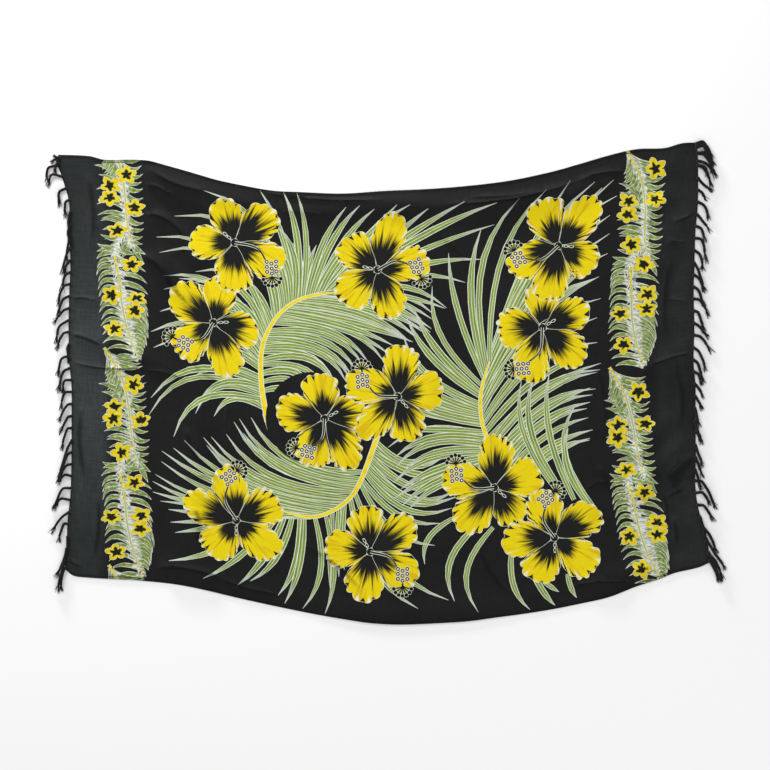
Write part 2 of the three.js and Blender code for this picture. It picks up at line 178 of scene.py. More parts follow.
# Palm fronds. A stem is a row of places. A leaflet's row gives where it grows, in hundredths of the
# stem, where its tip is, how far it bows to its left, in hundredths of its length, and how many
# leaflets come between it and the next.
FRONDS = {
    "a": {"shown": True, "stem": (
        (-315, -103), (-331, -7), (-331, 87), (-312, 143), (-280, 189), (-237, 221), (-184, 237),
        (-127, 243),
    ), "sides": ((
        (8, -462, -84, -26, 0), (13, -561, -138, -26, -1), (18, -626, -79, -23, -1),
        (22, -623, -36, -20, -1), (30, -626, 90, -14, -1), (34, -623, 141, -15, -1),
        (38, -602, 189, -18, -1), (42, -591, 253, -20, -1), (45, -551, 283, -20, 0),
        (47, -599, 291, -20, -2), (52, -604, 350, -24, -1), (56, -607, 395, -20, -1),
        (61, -570, 446, -23, -2), (68, -481, 511, -21, -3), (74, -331, 511, -8, -2),
        (77, -272, 505, -7, -1), (79, -234, 503, -5, -2), (82, -109, 476, 6, -1), (85, -63, 470, 5, -1),
        (88, -23, 462, 5, -1), (90, 31, 473, 5, -1), (92, 74, 476, 4, -1), (94, 119, 468, 4, -1),
        (96, 208, 481, 4, 0), (97, 304, 481, 4, 0), (98, 299, 419, 4, 0), (100, 259, 336, 5, 0),
        (100, 213, 267, 8, 0), (100, 165, 202, 10, 0),
    ), (
        (98, 162, 202, 8, 1), (94, 133, 168, 10, 1), (88, 119, 149, 11, 2), (82, 106, 130, 7, 2),
        (75, 68, 114, 10, 2), (67, 74, 111, 4, 2), (60, -4, 55, 12, 2), (50, -79, 28, 15, 2),
        (42, -109, -4, 18, 1), (36, -127, -12, 20, 1), (27, -194, -15, 20, 1), (18, -226, -42, 18, 0),
    ),)},
    "b": {"shown": True, "stem": (
        (-15, -127), (-34, -181), (-58, -245), (-84, -296), (-117, -328), (-157, -350), (-194, -359),
        (-245, -352), (-275, -342),
    ), "sides": ((
        (64, -146, -556, 2, 1), (56, -106, -505, -5, 0), (50, 87, -604, -15, 0), (44, 173, -588, -10, 0),
        (38, 130, -430, -15, 1), (31, 176, -336, -20, 2), (22, 194, -288, -20, 2), (14, 189, -234, -18, 1),
        (7, 141, -173, -25, 0),
    ), (
        (30, -328, -87, 16, 0), (34, -360, -90, 15, 1), (40, -406, -98, 14, 1), (46, -427, -143, 13, 1),
        (52, -481, -149, 10, 1), (60, -540, -159, 8, 1), (68, -596, -178, 6, 1), (76, -612, -243, 5, 1),
        (83, -618, -293, 4, 1), (90, -580, -336, 2, 1), (97, -567, -395, 2, 0), (100, -575, -481, 8, 0),
        (100, -481, -529, 5, 0), (97, -398, -535, 10, 0), (93, -355, -532, 12, 0), (88, -288, -570, 10, 0),
        (84, -264, -591, 10, 0), (78, -224, -599, 12, 0), (71, -168, -615, 6, 0),
    ),)},
    "c": {"shown": True, "stem": (
        (328, -315), (296, -221), (272, -143), (259, -100), (256, -34), (269, 23), (280, 58),
    ), "sides": ((
        (98, 494, 537, 6, 0), (95, 564, 540, 7, 1), (92, 615, 540, 8, 0), (88, 618, 505, 8, 0),
        (84, 607, 454, 8, 0), (79, 596, 406, 8, 1), (74, 591, 342, 9, 1), (68, 580, 283, 10, 1),
        (62, 572, 232, 10, 1), (55, 570, 111, 10, 1), (45, 575, 60, 10, 1), (37, 572, 23, 10, 1),
        (29, 559, -17, 10, 1), (22, 553, -50, 10, 1), (15, 543, -90, 10, 0), (10, 553, -119, 10, 0),
        (5, 553, -141, 10, 0), (0, 551, -159, 10, 0),
    ), (
        (100, 436, 521, 13, 0), (96, 355, 494, 15, 0), (91, 251, 414, 10, 0), (87, 168, 342, 8, 0),
        (82, 122, 256, 10, 0), (78, 82, 202, 9, 0), (74, 58, 168, 9, 1), (67, 36, 100, 10, 2),
        (60, 36, 7, 8, 2), (54, 47, -79, 0, 1), (47, 12, -176, -12, 1), (41, 31, -218, -12, 1),
        (36, 23, -261, -10, 1), (31, 31, -302, -8, 1), (25, 63, -342, -6, 0),
    ),)},
    "d": {"shown": False, "stem": (
        (556, -328), (513, -315), (484, -302), (460, -288),
    ), "sides": ((
        (0, 508, -60, 17, 0), (12, 492, -122, 14, 0), (50, 441, 28, 12, 0), (75, 401, 28, 12, 0),
        (100, 366, 12, 12, 0),
    ),)},
    "e": {"shown": False, "stem": (
        (181, -363), (288, -385), (350, -454), (417, -524), (489, -511),
    ), "sides": ((
        (0, 109, -481, -20, 0), (20, 186, -583, -17, 0), (30, 256, -612, -18, 0), (50, 390, -612, -11, 0),
        (72, 454, -602, -5, 0), (80, 460, -553, -5, 0), (100, 519, -570, -5, 0),
    ),)},
}

# One length of the side bands, from the top of a frond: the same kind of rows, measured from the
# band's middle line.
BAND_UPPER_STEM = (
    (-54, 0), (-35, -32), (-16, -64), (-3, -99), (5, -139), (11, -180), (13, -222), (19, -263), (27, -303),
)
BAND_LOWER_STEM = (
    (16, -276), (-8, -303), (-19, -330), (-13, -362), (-8, -394), (-5, -426), (-3, -464), (3, -501),
    (11, -539), (24, -576), (38, -614),
)
BAND_UPPER_RIGHT = (
    (6, 43, -27, -12, 1), (15, 48, -51, -15, 0), (22, 54, -72, -20, 0), (29, 56, -94, -22, 0),
    (36, 56, -115, -22, 0), (43, 56, -137, -22, 0), (50, 56, -158, -22, 0), (57, 59, -180, -22, 0),
    (64, 59, -201, -20, 0), (71, 59, -222, -18, 0), (78, 62, -244, -18, 0), (85, 62, -265, -16, 0),
    (92, 59, -284, -14, 0), (97, 59, -306, -10, 0), (100, 62, -332, -6, 0), (100, 59, -359, 0, 0),
)
BAND_UPPER_LEFT = (
    (3, -56, -64, 12, 2), (10, -54, -91, 14, 2), (18, -48, -113, 15, 2), (26, -40, -131, 15, 2),
    (34, -29, -145, 14, 1), (42, -19, -161, 12, 0), (46, -70, -94, -10, 0), (52, -64, -118, -10, 0),
    (58, -64, -155, -12, 0), (64, -59, -177, -10, 0), (70, -64, -198, -12, 0), (78, -62, -225, -12, 1),
    (86, -54, -244, -14, 1), (92, -43, -289, -10, 1), (95, -21, -332, 5, 0), (97, -13, -340, 3, 0),
    (100, 0, -343, 0, 0),
)
BAND_LOWER_LEFT = (
    (8, -56, -279, 5, 0), (12, -64, -303, 8, 1), (18, -67, -346, -15, 0), (23, -67, -370, -25, 0),
    (29, -67, -389, -28, 0), (35, -64, -407, -28, 0), (41, -64, -426, -30, 0), (47, -64, -448, -30, 0),
    (54, -62, -469, -30, 0), (60, -62, -488, -30, 0), (66, -62, -507, -30, 0), (72, -62, -525, -28, 0),
    (80, -59, -547, -25, 0), (88, -56, -571, -20, 0), (95, -48, -592, -15, 0), (100, -38, -614, -10, 0),
)
BAND_LOWER_RIGHT = (
    (14, 46, -324, -10, 0), (20, 40, -354, -10, 0), (27, 64, -381, 10, 0), (34, 67, -410, 10, 0),
    (40, 67, -440, 12, 0), (46, 67, -466, 15, 1), (54, 67, -501, 20, 2), (60, 67, -536, 22, 2),
    (70, 62, -557, 25, 2), (80, 59, -579, 25, 2), (90, 51, -598, 20, 1), (97, 43, -614, 10, 0),
)

CLEARING = (-198, -92, 122)      # bare ground round one flower: x, y and radius
LEFT_BAND_LINE = ((-706, 650), (-706, 328), (-698, 87), (-693, -181), (-685, -556))
RIGHT_BAND_LINE = (
    (706, 650), (690, 489), (677, 355), (666, 221), (658, 87), (653, -47), (661, -181), (674, -315),
    (693, -449), (709, -543),
)
LEFT_BAND_STARTS = (677, 95, -487)
RIGHT_BAND_STARTS = (623, 42)
SMALL_FLOWERS = (
    (-693, 559), (-736, 529), (-738, 497), (-671, 470), (-717, 409), (-679, 318), (-733, 237), (-666, 226),
    (-671, 194), (-725, 146), (-674, -4), (-725, -63), (-728, -95), (-655, -98), (-706, -186), (-671, -267),
    (-733, -358), (-653, -355), (-655, -390), (-720, -452), (725, 575), (725, 492), (653, 486), (650, 452),
    (661, 371), (693, 318), (704, 237), (701, 200), (631, 186), (639, 103), (679, -23), (698, -109),
    (626, -114), (623, -146), (647, -232), (695, -293), (728, -374), (730, -406), (655, -411), (687, -497),
)

# ---------------------------------------------------------------- how the fringes fall
# How each strand falls, from the top of the fringe down: where it bends and where it ends, each as a
# distance out from its root and a distance down from it.
LEFT_STRANDS = (
    (29, 8, 32, 46), (29, -5, 40, 24), (19, 11, 16, 48), (11, 8, 11, 48), (5, 29, 0, 78), (5, 27, -8, 64),
    (5, 21, 11, 72), (11, 19, 24, 72), (13, 16, 19, 38), (16, 11, 24, 51), (19, 8, 35, 56),
    (19, 11, 32, 54), (16, 8, 43, 40), (27, 19, 35, 62), (16, 5, 35, 48), (5, 13, 0, 51), (21, 8, 32, 54),
    (19, 11, 32, 64), (19, 3, 24, 38), (21, 3, 32, 51), (13, 3, 38, 46), (11, 3, 32, 46), (13, 3, 29, 59),
    (13, 24, 38, 105), (13, 8, 35, 78), (16, 5, 35, 43), (19, -3, 40, 21), (24, 3, 48, 59),
    (27, -3, 40, 19), (21, 16, 48, 56), (11, 0, 27, 48), (0, 24, 5, 54), (8, 32, 29, 78), (8, 32, 21, 86),
)
RIGHT_STRANDS = (
    (29, 0, 43, 54), (19, 5, 29, 29), (13, 16, 43, 38), (11, 8, 24, 29), (19, 11, 32, 48), (11, 13, 38, 48),
    (16, 8, 29, 48), (19, 5, 32, 64), (16, 13, 24, 56), (13, 24, 27, 75), (16, 13, 32, 48), (13, 8, 29, 51),
    (19, 5, 43, 48), (13, 5, 29, 56), (13, 8, 40, 40), (19, 5, 48, 46), (16, 13, 35, 64), (13, 11, 29, 64),
    (13, 8, 21, 35), (11, 13, 24, 38), (8, 13, 21, 38), (5, 21, 13, 51), (5, 21, 16, 59), (11, 5, 16, 32),
    (8, 24, 21, 59), (8, 21, 21, 56), (8, 24, 16, 56), (21, 3, 59, 75), (21, 0, 40, 35), (19, 3, 46, 43),
    (8, 27, 19, 70), (16, 19, 35, 67), (18, 28, 52, 78), (12, 24, 34, 82),
)

# Frayed ends at the corners: the side, how far up the edge, and the same distances.
CORNER_STRANDS = (
    (-1, 1140, 8, -3, 16, -8), (-1, 1136, 11, 0, 21, 8), (-1, 1128, 8, 11, 11, 32), (-1, 1144, 5, 5, 3, 27),
    (-1, 10, 8, 21, 13, 64), (1, 1146, 19, -5, 38, 38), (1, 1142, 24, 3, 43, 32), (1, 1136, 19, -3, 40, 46),
    (1, 1120, 21, 5, 46, 51), (1, 1100, 24, 8, 51, 43), (1, 1088, 19, 11, 40, 59), (1, 1146, 27, 5, 48, 59),
    (1, 24, 19, 21, 40, 67), (1, 8, 13, 24, 27, 59),
)

# ---------------------------------------------------------------- laying the cloth out
class Edge:
    """One edge of the cloth, from corner to corner."""

    def __init__(self, points):
        points = np.array(points, float)
        knots = np.concatenate([[0], np.cumsum(np.hypot(*np.diff(points, axis=0).T))])
        ahead = np.minimum(np.arange(len(points)) + 1, len(points) - 1)
        behind = np.maximum(np.arange(len(points)) - 1, 0)
        slopes = (points[ahead] - points[behind]) / (knots[ahead] - knots[behind])[:, None]
        self.shares = np.linspace(0, 1, 1601)
        distance = self.shares * knots[-1]
        i = np.clip(np.searchsorted(knots, distance) - 1, 0, len(points) - 2)
        span = (knots[i + 1] - knots[i])[:, None]
        t = (distance - knots[i])[:, None] / span
        self.places = (
            (2 * t**3 - 3 * t**2 + 1) * points[i] + (t**3 - 2 * t**2 + t) * span * slopes[i]
            + (3 * t**2 - 2 * t**3) * points[i + 1] + (t**3 - t**2) * span * slopes[i + 1]
        )

    def at(self, share):
        """The place at a share of the length. Past an end the edge goes straight on."""
        share = np.asarray(share, float)
        inner = np.clip(share, 0, 1)
        beyond = (share - inner)[..., None]
        first = (self.places[1] - self.places[0]) / self.shares[1]
        last = (self.places[-1] - self.places[-2]) / self.shares[1]
        x = np.interp(inner, self.shares, self.places[:, 0])
        y = np.interp(inner, self.shares, self.places[:, 1])
        return np.stack([x, y], axis=-1) + beyond * np.where(beyond < 0, first, last)


UPPER, LOWER, LEFT, RIGHT = (Edge(points) for points in (UPPER_EDGE, LOWER_EDGE, LEFT_EDGE, RIGHT_EDGE))


def lay_out(flat):
    """Where points of the flat cloth lie, seen from above."""
    s = flat[:, 0:1] / CUT_WIDTH
    t = flat[:, 1:2] / CUT_HEIGHT
    corners = (
        (1 - s) * (1 - t) * LOWER.at(0.0) + s * (1 - t) * LOWER.at(1.0)
        + (1 - s) * t * UPPER.at(0.0) + s * t * UPPER.at(1.0)
    )
    along = (1 - t) * LOWER.at(s[:, 0]) + t * UPPER.at(s[:, 0])
    return along + (1 - s) * LEFT.at(t[:, 0]) + s * RIGHT.at(t[:, 0]) - corners


def find_flat(seen):
    """The flat cloth's own measures of points seen from above."""
    flat = seen + [CUT_WIDTH / 2, CUT_HEIGHT / 2]
    probe = 2.0
    for _ in range(7):
        here = lay_out(flat)
        across = (lay_out(flat + [probe, 0]) - here) / probe
        up = (lay_out(flat + [0, probe]) - here) / probe
        miss = seen - here
        det = across[:, 0] * up[:, 1] - across[:, 1] * up[:, 0]
        flat = flat + np.stack([
            (miss[:, 0] * up[:, 1] - miss[:, 1] * up[:, 0]) / det,
            (across[:, 0] * miss[:, 1] - across[:, 1] * miss[:, 0]) / det], axis=-1)
    return flat


def ridge(points, row):
    """How high one ridge stands over some points."""
    from_x, from_y, to_x, to_y, bow, half, high = row
    along = np.array([to_x - from_x, to_y - from_y], float)
    length = math.hypot(*along)
    offset = points - [from_x, from_y]
    share = offset @ along / length**2
    aside = (offset[:, 1] * along[0] - offset[:, 0] * along[1]) / length
    from_line = aside - bow * 4 * share * (1 - share)
    fade = np.where((share > 0) & (share < 1), 1 - (2 * share - 1) ** 4, 0)
    return high * fade * np.exp(-((from_line / half) ** 2))


def lift(flat, seen):
    """The height of the cloth's underside."""
    large = sum(ridge(flat, row) for row in FOLDS)
    fine = sum(ridge(seen, row) for row in CREASES) * CREASE_GAIN
    across, up = flat[:, 0], flat[:, 1]
    slack = 0.5 + 0.5 * np.sin(across / 61 + 1.7 * np.sin(up / 83)) * np.sin(up / 47 + 0.6)
    return np.maximum(0, large - REST_LEVEL) + fine + SLACK_HEIGHT * slack


def to_frame(seen, height):
    """Metres in the frame of the part."""
    return np.column_stack([seen + MIDDLE_SHIFT, height]) * MM


def find_shift():
    """How far the middle of the whole garment is from the tables' own origin."""
    low, high = (np.array(corner[:2]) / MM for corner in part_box("upper_hem"))
    edge = UPPER.at(np.linspace(0, 1, 400))
    return np.array([low[0] - edge[:, 0].min(), high[1] - edge[:, 1].max()])


MIDDLE_SHIFT = find_shift()

# ---------------------------------------------------------------- the shapes of the motifs
def pairs(x, y):
    """Places from their two measures. Either measure may be a single number."""
    return np.stack(np.broadcast_arrays(x, y), axis=-1)


def turned(angle):
    """What rows of places are multiplied by to turn them by an angle in radians."""
    cos, sin = math.cos(angle), math.sin(angle)
    return np.array([[cos, sin], [-sin, cos]])


def circle(count):
    """Places round a circle with a radius of one."""
    turns = np.linspace(0, 2 * math.pi, count, endpoint=False)
    return pairs(np.cos(turns), np.sin(turns))


def smooth(points, count):
    """A smooth open curve through some points, at even distances."""
    points = [Vector(p) for p in points]
    if len(points) == 2:
        return np.array([points[0].lerp(points[1], i / (count - 1)) for i in range(count)])
    return Edge([tuple(p) for p in points]).at(np.linspace(0, 1, count))


def normals_of(curve):
    """The direction to the left of a curve at each of its points."""
    ahead = np.gradient(curve, axis=0)
    ahead /= np.maximum(np.hypot(ahead[:, 0], ahead[:, 1]), 1e-6)[:, None]
    return pairs(-ahead[:, 1], ahead[:, 0])


class Motif:
    """One printed shape: its outline, its colour and its own measures for the shader."""

    def __init__(self, kind, outline, measure, rim=None):
        after = np.roll(outline, -1, axis=0)
        turn = (outline[:, 0] * after[:, 1] - outline[:, 1] * after[:, 0]).sum()
        self.kind = kind
        self.outline = outline if turn > 0 else outline[::-1]
        self.measure = measure
        self.rim = rim


def ribbon(kind, curve, half_widths):
    """A shape along a curve. It is measured by the share along it and from -1 to 1 across it."""
    sides = normals_of(curve) * half_widths[:, None]
    outline = np.concatenate([curve + sides, (curve - sides)[::-1]])

    def measure(points):
        gaps = ((points[:, None, :] - curve[None, :, :]) ** 2).sum(axis=2)
        i = np.clip(gaps.argmin(axis=1), 1, len(curve) - 2)
        best = np.full(len(points), np.inf)
        share = np.zeros(len(points))
        across = np.zeros(len(points))
        for start in (i - 1, i):
            a, b = curve[start], curve[start + 1]
            along = b - a
            t = np.clip(((points - a) * along).sum(axis=1) / (along**2).sum(axis=1), 0, 1)
            off = points - (a + along * t[:, None])
            distance = np.hypot(off[:, 0], off[:, 1])
            side = np.sign(along[:, 0] * off[:, 1] - along[:, 1] * off[:, 0])
            width = half_widths[start] * (1 - t) + half_widths[start + 1] * t
            closer = distance < best
            best = np.where(closer, distance, best)
            share = np.where(closer, (start + t) / (len(curve) - 1), share)
            across = np.where(closer, side * distance / np.maximum(width, 0.4), across)
        return pairs(share, np.clip(across, -1, 1))

    return Motif(kind, outline, measure)


def leaflet(root, tip, bow, width, kind):
    """A long pointed leaflet that bows to one side between its root and its tip."""
    along = tip - root
    side = np.array([-along[1], along[0]])
    palm = kind == "leaf"
    width = min(width, 3 + (0.16 if palm else 0.24) * math.hypot(*along))
    t = np.linspace(0, 1, 9)[:, None]
    # it leaves the stem straight and bends mostly in its outer half
    curve = root + along * t + side * bow * 4 * (t * (1 - t)) * (0.75 + 0.5 * t)
    share = t[:, 0]
    start, taper = (0.7, 2.7) if palm else (1, 2.1)
    swell = 0.5 * width * np.minimum(1, start + 1.2 * share)
    return ribbon(kind, curve, swell * np.minimum(1, (1 - share) * taper + 0.03) ** 0.8)


def between(a, b, t):
    """A row of numbers part of the way from one row to another."""
    return tuple(x + (y - x) * t for x, y in zip(a, b))


def fan(stem, rows, width, wobble, kind="leaf"):
    """The leaflets on one side of a stem. A negative count puts short ones between two rows."""
    leaflets = []
    rows = [(share / 100, x, y, bow / 100, count) for share, x, y, bow, count in rows]
    for row, after in zip(rows, rows[1:] + [None]):
        more = abs(row[4]) if after else 0
        for k in range(more + 1):
            share, x, y, bow, _ = between(row, after, k / (more + 1)) if after else row
            root = stem[round(share * (len(stem) - 1))]
            tip = np.array([x, y]) + [random.uniform(-wobble, wobble), random.uniform(-wobble, wobble)]
            if k:
                reach = (0.5, 0.7) if row[4] < 0 else (0.9, 1.02)
                tip = root + (tip - root) * random.uniform(*reach)
            bow += random.uniform(-0.035, 0.035)
            leaflets.append(leaflet(root, tip, bow, width * random.uniform(0.82, 1.12), kind))
    random.shuffle(leaflets)
    return leaflets


def stem_ribbon(stem, width, kind="stem"):
    """A stem that gets thinner towards its end."""
    half = 0.5 * width * np.interp(np.linspace(0, 1, len(stem)), (0, 0.85, 1), (1, 0.6, 0.2))
    return ribbon(kind, stem[::2], half[::2])


def frond(name):
    """A large palm frond."""
    spec = FRONDS[name]
    stem = smooth(spec["stem"], 41)
    motifs = []
    for rows in spec["sides"]:
        motifs += fan(stem, rows, LEAFLET_WIDTH, 7)
    if spec["shown"]:
        motifs.append(stem_ribbon(stem, STEM_WIDTH))
    return motifs


def band_length(line, start, tall):
    """One length of a side band: two small fronds below each other."""
    middle = smooth(line, 200)

    def place(x, y):
        """Where a place of the table lies on the cloth."""
        height = start + y * tall
        return (x + np.interp(-height, -middle[:, 1], middle[:, 0]), height)

    motifs = []
    for stem_row, hidden, sides in ((BAND_UPPER_STEM, 0, (BAND_UPPER_LEFT, BAND_UPPER_RIGHT)),
                                    (BAND_LOWER_STEM, 6, (BAND_LOWER_RIGHT, BAND_LOWER_LEFT))):
        stem = smooth([place(*p) for p in stem_row], 31)
        motifs.append(ribbon("plume", stem[1:], np.interp(np.linspace(0, 1, 30), (0, 0.2, 1), (6, 15, 9))))
        for rows in sides:
            placed = [(share, *place(x, y), bow, count) for share, x, y, bow, count in rows]
            motifs += fan(stem, placed, BAND_LEAFLET_WIDTH, 2.5, "band_leaf")
        motifs.append(stem_ribbon(stem[hidden:], BAND_STEM_WIDTH, "band_stem"))
    return motifs


def even_steps(outline, step):
    """The same line with points at even distances, and how far each is along it."""
    walked = np.concatenate([[0], np.cumsum(np.hypot(*np.diff(outline, axis=0).T))])
    places = np.linspace(0, walked[-1], max(3, round(walked[-1] / step)))
    return pairs(*(np.interp(places, walked, outline[:, k]) for k in (0, 1))), places


def petal_side(u, gap, half):
    """Half a petal's width along it: it touches its neighbour first and ends in a round tip."""
    spread = math.tan(min(max(gap, 0.5), 0.74)) * u * 1.06
    width = spread * half / (spread**6 + half**6) ** (1 / 6)
    return width * (1 - np.clip((u - 0.6) / 0.4, 0, 1) ** 2.2) ** 0.5


def petal(middle, row, gaps, seed):
    """One ruffled petal. It is measured along and across its axis, the throat's length being one."""
    direction, length, half, throat = row
    rng = random.Random(seed)
    u = 0.03 + 0.97 * np.sin(np.linspace(0, math.pi / 2, 30))
    half_share = 1.02 * half / length
    right, left = (petal_side(u, gap, half_share * rng.uniform(0.9, 1.08)) for gap in gaps)
    lean = rng.uniform(-0.05, 0.05) * u**2 + 0.012 * np.sin(13 * u + rng.uniform(0, 6)) * (u < 0.5)
    outline = np.concatenate([pairs(u, lean - right), pairs(u, lean + left)[::-1]])
    outline, walked = even_steps(outline * length, RIM_STEP)
    cusps = [0]
    while cusps[-1] < walked[-1]:
        cusps.append(cusps[-1] + RUFFLE_LENGTH * rng.uniform(0.6, 1.5))
    numbers = np.arange(len(cusps))
    phase = np.interp(walked, cusps, numbers)
    depth = np.interp(phase, numbers, [RUFFLE_DEPTH * rng.uniform(0.2, 1.4) for _ in cusps])
    inward = depth * (1 - np.abs(np.sin(math.pi * phase))) + 2.2 * np.sin(walked / 17 + seed)
    inward *= np.clip((outline[:, 0] / length - 0.42) * 4, 0, 1)
    outline = outline + normals_of(outline) * inward[:, None]
    outer = outline[:, 0] > 0.3 * length
    angles = np.arctan2(outline[outer, 1], outline[outer, 0])
    angles, veins = np.maximum.accumulate(angles), phase[outer]
    turn = turned(math.radians(direction))
    middle = np.array(middle, float)
    outline = middle + outline @ turn

    def measure(points):
        return (points - middle) @ turn.T / throat

    def rim(points):
        local = measure(points)
        way = np.interp(np.arctan2(local[:, 1], local[:, 0]), angles, veins)
        return pairs(rim_of(points, outline), (way + 20 * seed) / WAY_UNIT)

    return Motif("petal", outline, measure, rim)


def rim_of(points, outline):
    """How far some points are from a closed outline."""
    best = np.full(len(points), 80.0)
    for a, b in zip(np.roll(outline, 1, axis=0), outline):
        along = b - a
        share = np.clip((points - a) @ along / max(along @ along, 1e-9), 0, 1)
        off = points - (a + share[:, None] * along)
        best = np.minimum(best, np.hypot(off[:, 0], off[:, 1]))
    return best / RIM_UNIT


def oval(kind, middle, size, direction=0, sides=12):
    """An oval, or a disc where one size is given. It is measured from its middle, its rim being one."""
    turn = turned(math.radians(direction))
    middle = np.array(middle, float)
    size = np.array(size)
    outline = middle + circle(sides) * size @ turn
    return Motif(kind, outline, lambda points: (points - middle) @ turn.T / size)


def stamen(middle, end, tip):
    """The stamen: a thin bent column, small rings along its end and a fan of dotted lines."""
    middle, end, tip = (np.array(p, float) for p in (middle, end, tip))
    along = end - middle
    side = np.array([-along[1], along[0]])
    reach = (tip - end) / np.hypot(*(tip - end))
    bend = 0.17 if along[0] * reach[1] - along[1] * reach[0] < 0 else -0.17
    column = smooth([middle, middle + 0.5 * along + side * bend, end - 0.1 * along], 18)
    half = np.interp(np.linspace(0, 1, 18), (0, 0.5, 0.68, 1), (3.9, 3.4, 2.3, 2.1))
    aside = np.array([-reach[1], reach[0]])
    root = tip - reach * 15
    under_rings = smooth([end + reach * 12, root + reach * 2], 3)
    motifs = [ribbon("column", column, half), ribbon("ground", under_rings, np.full(3, 2.3))]
    knobs = []
    for turn in np.linspace(-1.35, 1.35, 7):
        way = reach * math.cos(turn) + aside * math.sin(turn)
        motifs.append(ribbon("filament", smooth([root, root + way * 22], 4), np.array([1.5, 2.6, 3.8, 4.8])))
        knobs.append(oval("knob", root + way * 24, 6.1))
    motifs += knobs
    for row in (-1, 0, 1):
        for place in (-1, 0, 1):
            at = end + reach * (row * 13.5 + (5 if place == 0 else 0)) + aside * place * 12.5
            motifs.append(oval("ring", at, 6.6, sides=14))
    return motifs


def flower(number, middle, petals, loops, end, tip):
    """A large flower. Each petal's sides meet those of the petals on either hand."""
    directions = [row[0] for row in petals]
    motifs = [oval("ground", middle, 52, sides=16)]
    for k, row in enumerate(petals):
        turns = sorted((other - row[0]) % 360 for other in directions if other != row[0])
        gaps = (math.radians(360 - turns[-1]) / 2, math.radians(turns[0]) / 2)
        motifs.append(petal(middle, row, gaps, 31 * number + k))
    motifs.append(oval("centre", middle, 12.5, sides=5))
    for reach, long in ((20, 14), (34, 15)):
        place = middle + reach * turned(math.radians(loops))[0]
        motifs.append(oval("loop", place, (long / 2, 3.75), loops))
    return motifs + stamen(middle, end, tip)


def small_flower(middle, number):
    """A small flower of the side bands, with five round petals apart at their tips."""
    rng = random.Random(number)
    turn = rng.uniform(0, 6.28)
    angles = np.linspace(0, 2 * math.pi, 60, endpoint=False)
    lobe = np.round(angles / (2 * math.pi / 5)).astype(int) % 5
    lengths = np.array([rng.uniform(0.8, 1.2) for _ in range(5)])
    points = np.array([rng.uniform(-0.04, 0.16) for _ in range(5)])
    squash = rng.uniform(0.72, 1)
    round_tips = np.abs(np.cos(2.5 * angles))
    reach = 0.52 + 0.42 * round_tips**0.7 * lengths[lobe] + points[lobe] * round_tips**9
    shape = reach[:, None] * pairs(np.cos(angles + turn), np.sin(angles + turn) * squash)
    middle = np.array(middle, float)
    outline = middle + SMALL_RADIUS * shape

    def measure(points):
        return (points - middle) / [1, squash] @ turned(turn).T / SMALL_RADIUS

    def rim(points):
        return pairs(rim_of(points, outline), 0.03 * number)

    return Motif("small_flower", outline, measure, rim)


def all_motifs():
    """The whole print, from the lowest layer to the uppermost."""
    motifs = []
    for name in ("e", "b", "a", "c", "d"):
        motifs += frond(name)
    motifs.append(oval("ground", CLEARING[:2], CLEARING[2], sides=40))
    for start in LEFT_BAND_STARTS:
        motifs += band_length(LEFT_BAND_LINE, start, 1)
    for start in RIGHT_BAND_STARTS:
        motifs += band_length(RIGHT_BAND_LINE, start, 0.94)
    for number, middle in enumerate(SMALL_FLOWERS):
        motifs.append(small_flower(middle, number))
    for number, row in enumerate(FLOWERS):
        motifs += flower(number, *row)
    return motifs


# ---------------------------------------------------------------- one mesh for the whole print
def outline_of_cloth():
    """The cloth's outline and its two hem seams, as places on the flat cloth."""
    across = np.linspace(0, CUT_WIDTH, round(CUT_WIDTH / EDGE_STEP) + 1)
    up = np.linspace(0, CUT_HEIGHT, round(CUT_HEIGHT / EDGE_STEP) + 1)
    up = np.unique(np.concatenate([up, HEM_SEAMS]))
    right, left = pairs(CUT_WIDTH, up)[1:-1], pairs(0, up)[1:-1]
    border = np.concatenate([pairs(across, 0), right, pairs(across, CUT_HEIGHT)[::-1], left[::-1]])
    return border, [pairs(across, seam) for seam in HEM_SEAMS]


def grid_of(across, up, step):
    """Places in rows, with every other row half a step aside."""
    return np.array([(a + (step / 2 if k % 2 else 0), u) for k, u in enumerate(up) for a in across])


